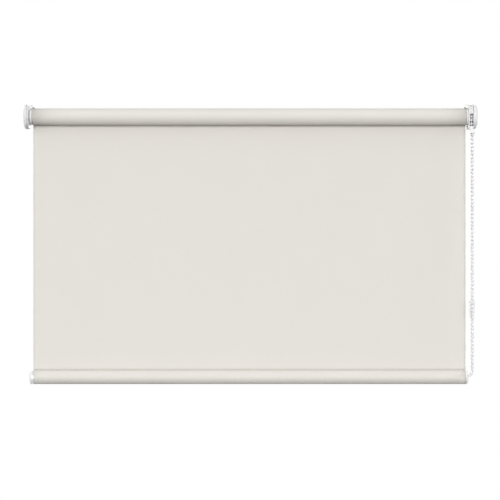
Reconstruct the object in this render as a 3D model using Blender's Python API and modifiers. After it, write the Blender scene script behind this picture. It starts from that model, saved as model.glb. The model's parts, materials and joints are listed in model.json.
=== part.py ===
"""A small blackout roller blind on two brackets, worked by a loop of bead chain.

The origin is the centre of the left bracket's wall face, level with the roller. +X runs along
the roller to the chain side, +Y goes into the wall and +Z is up. The pieces are placed from an
empty on the roller's axis, half way along the fabric, so x = 0 below is the fabric's middle,
y = 0 and z = 0 are the axis, and the wall is at y = WALL_Y. Lengths are metres.
"""

import math

import bmesh
import bpy
from mathutils import Matrix, Vector

MM = 0.001

# Clearances
GAP = 0.3 * MM  # between pieces that touch
RUN_GAP = 0.4 * MM  # round a pin or a wheel that turns or slides
OVER = 1.0 * MM  # how far a cutter or a joined solid reaches past the face it works on

# Fabric
FABRIC_WIDTH = 700.0 * MM
FABRIC_THICK = 0.4 * MM
ROLL_RADIUS = 13.5 * MM  # outside of the last layer, with the blind let down
DROP = 432.5 * MM  # from the roller's axis to the lower edge of the rail
SEAM_HEIGHT = 3.0 * MM  # welded strip over the pocket
SEAM_FOOT = 0.998  # share of the pocket's upper height at which the strip's sides start
TAPE_THICK = 0.2 * MM
TAPE_ARC = math.radians(30)
TAPE_INSET = 5.0 * MM  # from the fabric's edge to the tape's end

# Roller tube
TUBE_RADIUS = 8.5 * MM
TUBE_WALL = 0.8 * MM
TUBE_INSET = 1.0 * MM  # how far the tube's end lies inside the fabric's edge

# Place of the axis
AXIS_FROM_WALL = 24.0 * MM

# Both brackets
BRACKET_RADIUS = 20.0 * MM  # of the round front
FACE_INSET = 0.2 * MM  # the flat top and bottom lie this much inside the round
PLATE_THICK = 3.0 * MM
CHEEK_THICK = 2.4 * MM
COVER_WALL = 1.4 * MM
COVER_SPACE = 0.8 * MM  # between the left cover's face and the cheek
PLATE_INSET = 1.0 * MM  # how far the wall plates reach in past the fabric's edge
ARCH_INSET = 1.6 * MM  # how far the arches over the roll's ends reach in
ARCH_EDGE = 4.0 * MM
ARCH_STEP = 0.05 * MM  # an arch is this much smaller than the round front
ARCH_FRONT = 5.0 * MM  # its front face stands this far before the axis
ARCH_LIP = 3.0 * MM
LEFT_ARCH_LOW = (9.0 * MM, 14.7 * MM)  # its lower edge over the axis, from left to right
RIGHT_ARCH_LOW = (14.2 * MM, 12.9 * MM)
SCREW_HOLE = 1.6 * MM
SCREW_SINK = 3.0 * MM
SINK_LIP = 0.2 * MM  # how far the countersink stands out of the plate's face
SCREW_SPACING = 16.0 * MM
SCREW_TO_EDGE = 3.4 * MM  # from a plate's inner edge to the middle of its holes
CEILING_HOLE_FROM_WALL = 12.0 * MM

# Left end, going out from the fabric's edge
FLANGE_RADIUS = 12.4 * MM
PLUG_RIM = 1.8 * MM
PLUG_SHADOW = 0.6 * MM  # the rim's face stands this much further from the fabric
PLUG_DOME = 3.7 * MM
PLUG_NOSE = 4.6 * MM  # radius of the dome's flat end
PLUG_LENGTH = 24.0 * MM  # the part inside the tube
PLUG_FLOOR = 3.0 * MM
PLUG_CHAMFER = 0.8 * MM
PLUG_LIP = 2.0 * MM  # ring at the mouth that keeps the pin in
PIN_RADIUS = 2.4 * MM
PIN_COLLAR = 4.1 * MM
PIN_COLLAR_LENGTH = 2.0 * MM
PIN_STEM_RADIUS = 1.6 * MM
PIN_STEM_LENGTH = 9.0 * MM
PIN_REACH = 4.6 * MM  # how far the tip stands out of the plug
PIN_CHAMFER = 0.6 * MM
IDLER_WIRE = 0.7 * MM
IDLER_COIL = 3.0 * MM
IDLER_TURNS = 8
LEFT_COVER_DEPTH = 4.9 * MM
LEFT_COVER_EDGE = (4.0 * MM, 6.5 * MM)  # of the outer edge: along X, and round the axis
LEFT_COVER_INSIDE = (2.2 * MM, 4.5 * MM)
HOOD_WIDTH = 3.2 * MM
HOOD_WALL = 3.5 * MM
HOOD_EDGE = 1.1 * MM
CHEEK_EDGE = 5.0 * MM
PLUG_SPACE = 1.1 * MM  # between the plug and the hood
SCOOP_RADIUS = 11.8 * MM
SCOOP_ANGLE = math.radians(45)
SCOOP_ABOVE_AXIS = 2.2 * MM
SCOOP_LIP = 0.4 * MM  # between the scoop and the cover

# Right end, going out from the fabric's edge
HUB_RIM = 2.7 * MM
HUB_LENGTH = 28.0 * MM  # the part inside the tube
HUB_BORE = 6.2 * MM
HUB_LIP = 1.7 * MM
GUARD_WIDTH = 7.6 * MM
GUARD_RADIUS = 17.5 * MM
GUARD_INSIDE = 12.8 * MM
GUARD_EDGE = 1.2 * MM
GUARD_FLAT = 14.4 * MM  # under its cap the front is flat, this far before the axis
GUARD_CAP = 4.5 * MM  # lower edge of the cap, over the axis
GUARD_SIDE = 0.8 * MM
GUARD_HOLE = 9.0 * MM
FLARE_INSET = 0.1 * MM
FLARE_OVERLAP = 6.0 * MM
GUARD_FLARE_TOP = 12.0 * MM
GUARD_FLARE_LOW = 20.4 * MM
FLARE_NARROW = 1.5 * MM  # how much the flare's roller side comes in by its lower end
OUTLET_TOP = 25.0 * MM
OUTLET_END = 27.0 * MM
OUTLET_LEAN = 0.5 * MM
OUTLET_WALL = 0.8 * MM
OUTLET_DEPTH_WALL = 1.2 * MM
SLOT_TOP = 3.5 * MM  # the front slot, from over the axis
SLOT_END = 16.0 * MM  # to under it
SLOT_WIDTH = 5.4 * MM
RIGHT_COVER_DEPTH = 6.7 * MM
RIGHT_COVER_EDGE = (5.6 * MM, 7.0 * MM)
RIGHT_COVER_INSIDE = (3.2 * MM, 5.0 * MM)
CORE_RADIUS = 4.5 * MM
CORE_STUB_RADIUS = 3.0 * MM
CORE_STUB_LENGTH = 2.5 * MM
CORE_TENON = 6.0 * MM
CORE_HOLE_DEPTH = 14.0 * MM
CLIP_RADIUS = 6.2 * MM
CLIP_THICK = 0.8 * MM
SCREW_RADIUS = 1.25 * MM
SCREW_HEAD = 4.6 * MM
SCREW_HEAD_THICK = 1.0 * MM
SCREW_HEAD_EDGE = 0.6 * MM
SCREW_LENGTH = 12.5 * MM
SCREW_POINT = 1.0 * MM
CLUTCH_WIRE = 0.8 * MM
CLUTCH_COIL = 5.35 * MM
CLUTCH_TURNS = 7
CLUTCH_PITCH = 1.5 * MM
DOG_RADIUS = 8.2 * MM
DOG_THICK = 3.2 * MM
DOG_REACH = 3.2 * MM

# Bead chain
BEAD = 4.5 * MM
BEAD_PITCH = 6.0 * MM
BEADS_ROUND_WHEEL = 10
WHEEL_WIDTH = 6.6 * MM
WHEEL_RIM = 0.75 * MM
WHEEL_RIM_RADIUS = 10.6 * MM
WHEEL_SCALLOP = 0.5 * MM
CHAIN_OUTWARD = 2.45 * MM  # how far the outlet leads the strands out from the wheel's plane
WRAP_TAIL = 3.0 * MM  # straight end of the wrapped stretch, under the axis
JOINER_WIDTH = 9.6 * MM
JOINER_DEPTH = 6.7 * MM
JOINER_TOP = 296.7 * MM  # under the axis
JOINER_HEIGHT = 19.8 * MM
JOINER_EDGE = 0.8 * MM
NECK_HEIGHT = 7.3 * MM
NECK_RADIUS = 3.3 * MM
NECK_END_RADIUS = 2.95 * MM

# Bottom rail
RAIL_LOW = 10.8 * MM  # its section is a drop: this far down from its widest place
RAIL_HIGH = 11.5 * MM  # and this far up
RAIL_DEPTH = 19.2 * MM
RAIL_TAPER = (0.25, 0.35)  # how much the lower and the upper half narrow beyond an ellipse
BAR_WALL = 1.2 * MM
BAR_SLACK = 1.5 * MM  # how far the bar has slid to the left in its pocket
CAP_DOME = 4.7 * MM
CAP_RIM = 0.8 * MM
CAP_TONGUE = 14.0 * MM
CAP_SQUARENESS = 2.3  # power of the superellipse

# Facets
ROUND = 48
SMALL_ROUND = 24
OVAL = 32

# Values worked out from the ones above
EDGE_X = FABRIC_WIDTH / 2
WALL_Y = AXIS_FROM_WALL
TUBE_BORE = TUBE_RADIUS - TUBE_WALL
TUBE_END_X = EDGE_X - TUBE_INSET
PLATE_X = EDGE_X - PLATE_INSET
ARCH_X = EDGE_X - ARCH_INSET
SHEET_Y = ROLL_RADIUS - FABRIC_THICK / 2
CHEEK_RADIUS = BRACKET_RADIUS - COVER_WALL - RUN_GAP

PLUG_FACE_X = -(EDGE_X + GAP)
PLUG_NOSE_X = PLUG_FACE_X - PLUG_RIM - PLUG_DOME
HOOD_X = PLUG_NOSE_X
COVER_L_RIM_X = HOOD_X - HOOD_WIDTH - GAP
COVER_L_X = COVER_L_RIM_X - LEFT_COVER_DEPTH
CHEEK_L_X = COVER_L_X + COVER_WALL + COVER_SPACE

HUB_FACE_X = EDGE_X + GAP + HUB_RIM
GUARD_X = HUB_FACE_X + GAP
GUARD_END_X = GUARD_X + GUARD_WIDTH
CHEEK_R_X = GUARD_END_X + GAP
WHEEL_X = (GUARD_X + GUARD_SIDE + CHEEK_R_X) / 2
COVER_R_X = CHEEK_R_X + RIGHT_COVER_DEPTH
CHAIN_X = WHEEL_X + CHAIN_OUTWARD
PITCH_RADIUS = BEADS_ROUND_WHEEL * BEAD_PITCH / (2 * math.pi)

RAIL_Z = RAIL_LOW - DROP
RAIL_TOP = RAIL_Z + RAIL_HIGH
BAR_RIGHT_X = EDGE_X + GAP
BAR_LEFT_X = -(EDGE_X + GAP + BAR_SLACK)

LEFT_PLATE_X = (CHEEK_L_X - PLATE_X) / 2  # middle of the left wall face

# The free loop of the chain hangs through these points, which were chosen by hand. They are
# (out from the wheel's plane, toward the wall, up), in the frame of the roller's axis. Its turn
# leans to the left, as a chain that was packed flat does.
CHAIN_ROUTE = [
    (0.00000, -0.00955, -0.0033),
    (0.00020, -0.00955, -0.0100),
    (0.00060, -0.00955, -0.0160),
    (0.00100, -0.00955, -0.0205),
    (0.00180, -0.00955, -0.0250),
    (0.00235, -0.00955, -0.0290),
    (0.00245, -0.00955, -0.0340),
    (0.00245, -0.00955, -0.0600),
    (0.00245, -0.00955, -0.1500),
    (0.00245, -0.00955, -0.2500),
    (0.00245, -0.00955, -0.3500),
    (0.00245, -0.00955, -0.3950),
    (0.00245, -0.00950, -0.4045),
    (0.00220, -0.00890, -0.4098),
    (0.00110, -0.00660, -0.4149),
    (-0.00110, -0.00350, -0.4176),
    (-0.00240, 0.00000, -0.4182),
    (-0.00110, 0.00350, -0.4176),
    (0.00110, 0.00660, -0.4149),
    (0.00220, 0.00890, -0.4098),
    (0.00245, 0.00950, -0.4045),
    (0.00245, 0.00955, -0.3950),
    (0.00245, 0.00955, -0.3500),
    (0.00245, 0.00955, -0.2500),
    (0.00245, 0.00955, -0.1500),
    (0.00245, 0.00955, -0.0600),
    (0.00245, 0.00955, -0.0340),
    (0.00235, 0.00955, -0.0290),
    (0.00180, 0.00955, -0.0250),
    (0.00100, 0.00955, -0.0205),
    (0.00060, 0.00955, -0.0160),
    (0.00020, 0.00955, -0.0100),
    (0.00000, 0.00955, -0.0033),
]

# Colours, roughness and metallic of the materials
FINISHES = {
    "blackout_fabric": ((0.787, 0.760, 0.713), 0.85, 0.0),
    "white_plastic": ((0.86, 0.86, 0.86), 0.40, 0.0),
    "chain_plastic": ((0.80, 0.80, 0.80), 0.35, 0.0),
    "aluminium": ((0.80, 0.80, 0.81), 0.35, 1.0),
    "steel": ((0.55, 0.55, 0.56), 0.30, 1.0),
    "clear_tape": ((0.75, 0.73, 0.66), 0.50, 0.0),
}

# Turns a shape drawn in (y, z) and extruded or turned about its own Z, so that it lies along X.
ALONG_X = Matrix(((0, 0, 1, 0), (1, 0, 0, 0), (0, 1, 0, 0), (0, 0, 0, 1)))


# Scene


def clear_scene():
    """Removes what the scene holds."""
    for thing in list(bpy.data.objects):
        bpy.data.objects.remove(thing, do_unlink=True)


def new_collection(name):
    """Adds a collection to the scene."""
    collection = bpy.data.collections.new(name)
    bpy.context.scene.collection.children.link(collection)
    return collection


clear_scene()
PARTS = new_collection("roller_blind")
CUTTERS = new_collection("cutters")


def make_empty(name, place, parent=None):
    """Adds an empty, which marks an axis that pieces turn or slide on."""
    empty = bpy.data.objects.new(name, None)
    empty.location = place
    empty.parent = parent
    PARTS.objects.link(empty)
    return empty


ROLLER_AXIS = make_empty("roller_axis", (-LEFT_PLATE_X, -AXIS_FROM_WALL, 0))


def make_material(name):
    """Makes a Principled material from its row in FINISHES."""
    colour, roughness, metallic = FINISHES[name]
    material = bpy.data.materials.new(name)
    material.use_nodes = True
    shader = material.node_tree.nodes["Principled BSDF"]
    shader.inputs["Base Color"].default_value = (*colour, 1)
    shader.inputs["Roughness"].default_value = roughness
    shader.inputs["Metallic"].default_value = metallic
    return material


def as_part(piece, name, finish, parent=ROLLER_AXIS):
    """Names a piece, gives it a material of its own and parents it to its axis."""
    piece.name = name
    piece.data.name = name
    material = make_material(finish)
    material.name = f"{name}_{finish}"
    piece.data.materials.clear()
    piece.data.materials.append(material)
    piece.data.shade_smooth()
    piece.data.set_sharp_from_angle(angle=math.radians(35))
    piece.parent = parent
    return piece


# Solids


def from_bmesh(shape, name="piece"):
    """Turns a bmesh into an object in the collection of parts."""
    mesh = bpy.data.meshes.new(name)
    shape.to_mesh(mesh)
    shape.free()
    piece = bpy.data.objects.new(name, mesh)
    PARTS.objects.link(piece)
    return piece


def block(x0, x1, y0, y1, z0, z1):
    """A box between two corners."""
    size = Matrix.Diagonal((abs(x1 - x0), abs(y1 - y0), abs(z1 - z0), 1))
    place = Matrix.Translation(((x0 + x1) / 2, (y0 + y1) / 2, (z0 + z1) / 2))
    shape = bmesh.new()
    bmesh.ops.create_cube(shape, size=1, matrix=place @ size)
    return from_bmesh(shape)


def rod(start, end, radius, end_radius=None, sides=SMALL_ROUND):
    """A cylinder or a cone between two points."""
    start, end = Vector(start), Vector(end)
    along = end - start
    turn = Vector((0, 0, 1)).rotation_difference(along).to_matrix().to_4x4()
    shape = bmesh.new()
    bmesh.ops.create_cone(
        shape,
        cap_ends=True,
        segments=sides,
        radius1=radius,
        radius2=radius if end_radius is None else end_radius,
        depth=along.length,
        matrix=Matrix.Translation((start + end) / 2) @ turn,
    )
    return from_bmesh(shape)


def to_mesh_object(piece):
    """Replaces a curve with its mesh, with the seams of its caps welded."""
    evaluated = piece.evaluated_get(bpy.context.evaluated_depsgraph_get())
    mesh = bpy.data.meshes.new_from_object(evaluated)
    shape = bmesh.new()
    shape.from_mesh(mesh)
    bmesh.ops.remove_doubles(shape, verts=shape.verts, dist=0.00001)
    shape.to_mesh(mesh)
    shape.free()
    solid = bpy.data.objects.new("piece", mesh)
    solid.matrix_world = piece.matrix_world.copy()
    PARTS.objects.link(solid)
    bpy.data.objects.remove(piece, do_unlink=True)
    return solid


def extruded(outlines, x0, x1):
    """A solid along X from flat outlines in (y, z): the first is its edge, the others are holes."""
    curve = bpy.data.curves.new("outline", "CURVE")
    curve.dimensions = "2D"
    curve.fill_mode = "BOTH"
    curve.extrude = abs(x1 - x0) / 2
    for outline in outlines:
        spline = curve.splines.new("POLY")
        spline.points.add(len(outline) - 1)
        for point, (y, z) in zip(spline.points, outline):
            point.co = (y, z, 0, 1)
        spline.use_cyclic_u = True
    piece = bpy.data.objects.new("outline", curve)
    PARTS.objects.link(piece)
    bpy.context.view_layer.update()
    solid = to_mesh_object(piece)
    solid.data.transform(Matrix.Translation(((x0 + x1) / 2, 0, 0)) @ ALONG_X)
    return solid


def turned(profile, closed=False, steps=ROUND):
    """A turned solid about the X axis.

    The profile is a list of (radius, x) that goes from the end with the highest x down the
    outside. An open one starts and ends on the axis, and a closed one makes a ring.
    """
    shape = bmesh.new()
    corners = [shape.verts.new((radius, 0, x)) for radius, x in profile]
    for first, second in zip(corners, corners[1:]):
        shape.edges.new((first, second))
    if closed:
        shape.edges.new((corners[-1], corners[0]))
    piece = from_bmesh(shape)
    screw = piece.modifiers.new("turn", "SCREW")
    screw.axis = "Z"
    screw.steps = steps
    screw.render_steps = steps
    screw.use_merge_vertices = True
    screw.merge_threshold = 0.00001
    screw.use_smooth_shade = False
    bpy.context.view_layer.update()
    evaluated = piece.evaluated_get(bpy.context.evaluated_depsgraph_get())
    mesh = bpy.data.meshes.new_from_object(evaluated)
    mesh.transform(ALONG_X)
    bpy.data.objects.remove(piece, do_unlink=True)
    solid = bpy.data.objects.new("piece", mesh)
    PARTS.objects.link(solid)
    return solid


def lofted(rings):
    """A closed skin over rings of as many points each, with a flat face on both ends."""
    shape = bmesh.new()
    rows = [[shape.verts.new(point) for point in ring] for ring in rings]
    count = len(rings[0])
    for low, high in zip(rows, rows[1:]):
        for i in range(count):
            j = (i + 1) % count
            shape.faces.new((low[i], low[j], high[j], high[i]))
    shape.faces.new(rows[0])
    shape.faces.new(rows[-1])
    bmesh.ops.recalc_face_normals(shape, faces=shape.faces)
    return from_bmesh(shape)


def wire(points, radius, sides_step=2):
    """A round tube along points, with filled caps."""
    curve = bpy.data.curves.new("wire", "CURVE")
    curve.dimensions = "3D"
    curve.bevel_depth = radius
    curve.bevel_resolution = sides_step
    curve.use_fill_caps = True
    spline = curve.splines.new("POLY")
    spline.points.add(len(points) - 1)
    for point, place in zip(spline.points, points):
        point.co = (*place, 1)
    piece = bpy.data.objects.new("wire", curve)
    PARTS.objects.link(piece)
    bpy.context.view_layer.update()
    return to_mesh_object(piece)


def boolean(piece, other, operation, solver):
    """Adds a Boolean modifier, and puts its other operand away among the cutters.

    The brackets take the MANIFOLD solver, because the EXACT one leaves open edges in them.
    """
    PARTS.objects.unlink(other)
    CUTTERS.objects.link(other)
    other.name = "cutter"
    other.hide_render = True
    other.display_type = "WIRE"
    other.parent = ROLLER_AXIS
    modifier = piece.modifiers.new(operation.lower(), "BOOLEAN")
    modifier.object = other
    modifier.operation = operation
    modifier.solver = solver
    return piece


def joined(piece, *others, solver="EXACT"):
    """The union of solids."""
    for other in others:
        boolean(piece, other, "UNION", solver)
    return piece


def cut(piece, *others, solver="EXACT"):
    """A solid without what the others take away."""
    for other in others:
        boolean(piece, other, "DIFFERENCE", solver)
    return piece


def round_edges(piece, face_x, back, radius, segments=3):
    """Rounds the edges of the face at face_x, except the straight one at the back."""
    shape = bmesh.new()
    shape.from_mesh(piece.data)
    bmesh.ops.dissolve_limit(
        shape, angle_limit=0.001, verts=shape.verts, edges=shape.edges
    )
    small = 0.001 * MM
    edges = [
        edge
        for edge in shape.edges
        if all(abs(vert.co.x - face_x) < small for vert in edge.verts)
        and any(vert.co.y < back - small for vert in edge.verts)
    ]
    bmesh.ops.bevel(
        shape,
        geom=edges,
        offset=radius,
        segments=segments,
        profile=0.5,
        affect="EDGES",
        clamp_overlap=True,
    )
    shape.to_mesh(piece.data)
    shape.free()
    return piece


# Outlines in (y, z)


def circle(radius, count=SMALL_ROUND, y=0.0, z=0.0):
    """Points round a circle."""
    turns = (2 * math.pi * i / count for i in range(count))
    return [(y + radius * math.cos(a), z + radius * math.sin(a)) for a in turns]


def drop_outline(inset=0.0, shrink=1.0, count=OVAL):
    """Points round the bottom rail's section, set in or shrunk toward its widest place.

    Both halves narrow more than an ellipse does, and the upper one most, to the seam.
    """
    points = []
    for i in range(count):
        a = 2 * math.pi * i / count
        rise = math.sin(a)
        height = RAIL_HIGH if rise > 0 else RAIL_LOW
        taper = 1 - RAIL_TAPER[rise > 0] * rise**2
        y = (RAIL_DEPTH / 2 - inset) * shrink * math.cos(a) * taper
        points.append((SHEET_Y + y, RAIL_Z + (height - inset) * shrink * rise))
    return points


def d_outline(radius, back, count=SMALL_ROUND):
    """A half circle toward the room, with straight sides back to the wall side."""
    turns = (math.pi / 2 + math.pi * i / count for i in range(count + 1))
    front = [(radius * math.cos(a), radius * math.sin(a)) for a in turns]
    return [(back, radius), *front, (back, -radius)]


def smooth_route(points, step):
    """Points along a smooth curve through a route's own points.

    Each span is a cubic whose slopes come from the neighbours, weighted by their distances.
    """
    route = [Vector(p) for p in points]
    along = [0.0]
    for a, b in zip(route, route[1:]):
        along.append(along[-1] + (b - a).length)
    last = len(route) - 1
    slopes = []
    for i in range(last + 1):
        before, after = max(i - 1, 0), min(i + 1, last)
        slopes.append((route[after] - route[before]) / (along[after] - along[before]))
    out = [route[0]]
    for i in range(last):
        span = along[i + 1] - along[i]
        count = max(1, math.ceil(span / step - 0.001))
        for k in range(1, count + 1):
            t = k / count
            out.append(
                route[i] * (2 * t**3 - 3 * t**2 + 1)
                + slopes[i] * span * (t**3 - 2 * t**2 + t)
                + route[i + 1] * (3 * t**2 - 2 * t**3)
                + slopes[i + 1] * span * (t**3 - t**2)
            )
    return out


def coil(radius, start_x, turns, pitch, per_turn=12):
    """Points along a helix round the X axis."""
    points = []
    for i in range(turns * per_turn + 1):
        a = 2 * math.pi * i / per_turn
        x = start_x + pitch * i / per_turn
        points.append((x, radius * math.cos(a), radius * math.sin(a)))
    return points


def print_gap(name, pitch, thick):
    """Prints the least gap between the turns of a coil."""
    print(f"{name}: {1000 * (pitch - thick):.2f} mm between turns")


# Brackets


def screw_cutters(x, inner):
    """Countersunk holes for two wall screws and a hole for a ceiling screw, as cutters."""
    cutters = []
    depth = SCREW_SINK - SCREW_HOLE
    for z in (-SCREW_SPACING / 2, SCREW_SPACING / 2):
        cutters.append(rod((x, inner - OVER, z), (x, WALL_Y + OVER, z), SCREW_HOLE))
        mouth, throat = (x, inner - SINK_LIP, z), (x, inner + depth, z)
        cutters.append(rod(mouth, throat, SCREW_SINK + SINK_LIP, SCREW_HOLE))
    y = WALL_Y - CEILING_HOLE_FROM_WALL
    cutters.append(rod((x, y, FLANGE_RADIUS), (x, y, BRACKET_RADIUS + OVER), SCREW_HOLE))
    return cutters


def round_the_guard(x0, x1):
    """A wall plate and a ceiling plate in one, larger than they end up outside.

    They stand behind the chain guard and over it.
    """
    back, top = WALL_Y + 2 * OVER, BRACKET_RADIUS + 2 * OVER
    inner, low = WALL_Y - PLATE_THICK, GUARD_RADIUS + GAP
    corners = [(inner, -top), (back, -top), (back, top), (0, top), (0, low), (inner, low)]
    return extruded([corners], x0, x1)


def screw_plate(x0, x1):
    """The wall plate behind the roller's end, as high as the plug and no higher than the arch."""
    inner, back = WALL_Y - PLATE_THICK, WALL_Y + 2 * OVER
    return block(x0, x1, inner, back, -FLANGE_RADIUS, BRACKET_RADIUS - ARCH_EDGE - OVER)


def arch(x0, x1, end_x, low0, low1):
    """The top of a bracket, which goes on over the roll and ends in a round edge at end_x.

    It is a plate with a lip in front. The lip's lower edge goes in a straight line from low0 at
    x0 to low1 at x1.
    """
    radius, back = BRACKET_RADIUS - ARCH_STEP, WALL_Y + 1.5 * OVER
    body = extruded([d_outline(radius, back)], x0, x1)
    round_edges(body, end_x, back, ARCH_EDGE)
    far = 2 * BRACKET_RADIUS
    front = block(x0 - OVER, x1 + OVER, -far, -ARCH_FRONT, -far, far)
    inside = (ARCH_LIP - ARCH_FRONT, WALL_Y - HOOD_WALL, -far, BRACKET_RADIUS - HOOD_WALL)
    hollow = block(x0 - OVER, x1 + OVER, *inside)
    fall = (low1 - low0) / (x1 - x0) * OVER
    side = [
        (x0 - OVER, low0 - fall),
        (x1 + OVER, low1 + fall),
        (x1 + OVER, -far),
        (x0 - OVER, -far),
    ]
    under = lofted([[(x, y, z) for x, z in side] for y in (-far, WALL_Y + 3 * OVER)])
    cut(body, front, hollow, under)
    return body


def outside_trim(x0, x1):
    """A cutter that leaves flat faces at the wall, at the ceiling and underneath."""
    far = 3 * BRACKET_RADIUS
    face = BRACKET_RADIUS - FACE_INSET
    corners = [(-far, face), (WALL_Y, face), (WALL_Y, -face), (-far, -face)]
    corners += [(-far, -far), (far, -far), (far, far), (-far, far)]
    return extruded([corners], x0, x1)


def cover_seat(x0, x1):
    """A cutter that leaves the smaller outline on which the cover snaps."""
    far = 3 * BRACKET_RADIUS
    square = [(-far, -far), (far, -far), (far, far), (-far, far)]
    return extruded([square, d_outline(CHEEK_RADIUS, 2 * WALL_Y)], x0, x1)


def plug_recess():
    """A dish round the plug's nose, as a cutter: it follows the dome, and is open behind it."""
    steps = 5
    rings = []
    for i in range(steps, -1, -1):
        a = math.pi / 2 * i / steps
        radius = PLUG_NOSE + (FLANGE_RADIUS + PLUG_SPACE - PLUG_NOSE) * math.cos(a)
        x = PLUG_FACE_X - PLUG_RIM - (PLUG_DOME + PLUG_SPACE) * math.sin(a)
        rings.append((x, radius))
    rings.append((OVER - ARCH_X, FLANGE_RADIUS + PLUG_SPACE))
    back = WALL_Y - HOOD_WALL
    return lofted([[(x, y, z) for y, z in d_outline(radius, back)] for x, radius in rings])


def scoop_cutter(rim_x):
    """A slanted cylinder that opens the hood's front toward the roller."""
    middle = Vector((rim_x + SCOOP_LIP, -BRACKET_RADIUS, SCOOP_ABOVE_AXIS))
    middle.x += SCOOP_RADIUS / math.cos(SCOOP_ANGLE)
    along = Vector((math.sin(SCOOP_ANGLE), math.cos(SCOOP_ANGLE), 0)) * 2 * SCOOP_RADIUS
    return rod(middle - along, middle + along, SCOOP_RADIUS, sides=ROUND)


def make_left_bracket():
    """Cheek with the pin's socket and a dish for the plug, an arch and a screw plate."""
    rim_x = COVER_L_RIM_X + GAP
    back = WALL_Y + OVER
    far_x = 5 * OVER - ARCH_X
    bracket = extruded([d_outline(BRACKET_RADIUS, back)], CHEEK_L_X, HOOD_X)
    round_edges(bracket, HOOD_X, back, HOOD_EDGE)
    round_edges(bracket, CHEEK_L_X, back, CHEEK_EDGE)
    over_roll = arch(HOOD_X - 2 * HOOD_EDGE, -ARCH_X, -ARCH_X, *LEFT_ARCH_LOW)
    joined(bracket, over_roll, screw_plate(HOOD_X - OVER, -PLATE_X), solver="MANIFOLD")
    cutters = [
        outside_trim(CHEEK_L_X - OVER, far_x),
        cover_seat(CHEEK_L_X - OVER, rim_x),
        plug_recess(),
        scoop_cutter(rim_x),
        rod((CHEEK_L_X - OVER, 0, 0), (PLUG_NOSE_X, 0, 0), PIN_RADIUS + RUN_GAP),
        *screw_cutters(-PLATE_X - SCREW_TO_EDGE, WALL_Y - HOOD_WALL),
    ]
    cut(bracket, *cutters, solver="MANIFOLD")
    return as_part(bracket, "left_bracket", "white_plastic")


def make_right_bracket():
    """Cheek with the core's square socket, an arch over the hub, and the plates."""
    rim_x = CHEEK_R_X - GAP
    cheek_end = CHEEK_R_X + CHEEK_THICK
    near_x = ARCH_X - OVER
    guard_x = GUARD_X - GAP
    bracket = extruded([d_outline(BRACKET_RADIUS, WALL_Y + OVER)], CHEEK_R_X, cheek_end)
    over_roll = arch(ARCH_X, guard_x, ARCH_X, *RIGHT_ARCH_LOW)
    plates = [
        round_the_guard(guard_x - OVER, CHEEK_R_X + OVER),
        screw_plate(PLATE_X, guard_x + OVER),
    ]
    joined(bracket, *plates, over_roll, solver="MANIFOLD")
    half = CORE_TENON / 2 + GAP
    cutters = [
        outside_trim(near_x, cheek_end + OVER),
        cover_seat(rim_x, cheek_end + OVER),
        block(CHEEK_R_X - OVER, cheek_end + OVER, -half, half, -half, half),
        *screw_cutters(PLATE_X + SCREW_TO_EDGE, WALL_Y - PLATE_THICK),
    ]
    cut(bracket, *cutters, solver="MANIFOLD")
    return as_part(bracket, "right_bracket", "white_plastic")


def domed(rim_x, face_x, radius, edge, back, steps=5):
    """A solid with a D outline, whose edge at face_x is a quarter of an ellipse."""
    side = 1 if face_x > rim_x else -1
    depth, inward = edge
    rings = [(rim_x, radius)]
    for i in range(steps + 1):
        a = math.pi / 2 * i / steps
        x = face_x - side * depth * (1 - math.sin(a))
        rings.append((x, radius - inward * (1 - math.cos(a))))
    return lofted([[(x, y, z) for y, z in d_outline(r, back)] for x, r in rings])


def make_cover(name, rim_x, face_x, edge, inside_edge):
    """A cap with a domed edge, open toward the bracket and toward the wall."""
    side = 1 if face_x > rim_x else -1
    cover = domed(rim_x, face_x, BRACKET_RADIUS, edge, WALL_Y - GAP)
    inside = domed(
        rim_x - side * OVER,
        face_x - side * COVER_WALL,
        BRACKET_RADIUS - COVER_WALL,
        inside_edge,
        WALL_Y + OVER,
    )
    cut(cover, inside)
    return as_part(cover, name, "white_plastic")


# Left end of the roller


def make_idler_plug():
    """Plug with a domed rim, and a blind bore that holds the pin and its spring."""
    end_x = PLUG_FACE_X + PLUG_LENGTH
    body = TUBE_BORE - GAP
    rim_x = PLUG_FACE_X - PLUG_RIM
    bore = PIN_COLLAR + GAP
    dome = []
    for i in range(1, 7):
        a = math.pi / 2 * i / 6
        radius = PLUG_NOSE + (FLANGE_RADIUS - PLUG_NOSE) * math.cos(a)
        dome.append((radius, rim_x - PLUG_DOME * math.sin(a)))
    profile = [
        (0, end_x),
        (body - PLUG_CHAMFER, end_x),
        (body, end_x - PLUG_CHAMFER),
        (body, PLUG_FACE_X - PLUG_SHADOW),
        (FLANGE_RADIUS, PLUG_FACE_X - PLUG_SHADOW),
        (FLANGE_RADIUS, rim_x),
        *dome,
        (PIN_RADIUS + RUN_GAP, PLUG_NOSE_X),
        (PIN_RADIUS + RUN_GAP, PLUG_NOSE_X + PLUG_LIP),
        (bore, PLUG_NOSE_X + PLUG_LIP),
        (bore, end_x - PLUG_FLOOR),
        (0, end_x - PLUG_FLOOR),
    ]
    return as_part(turned(profile), "idler_plug", "white_plastic")


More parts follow.
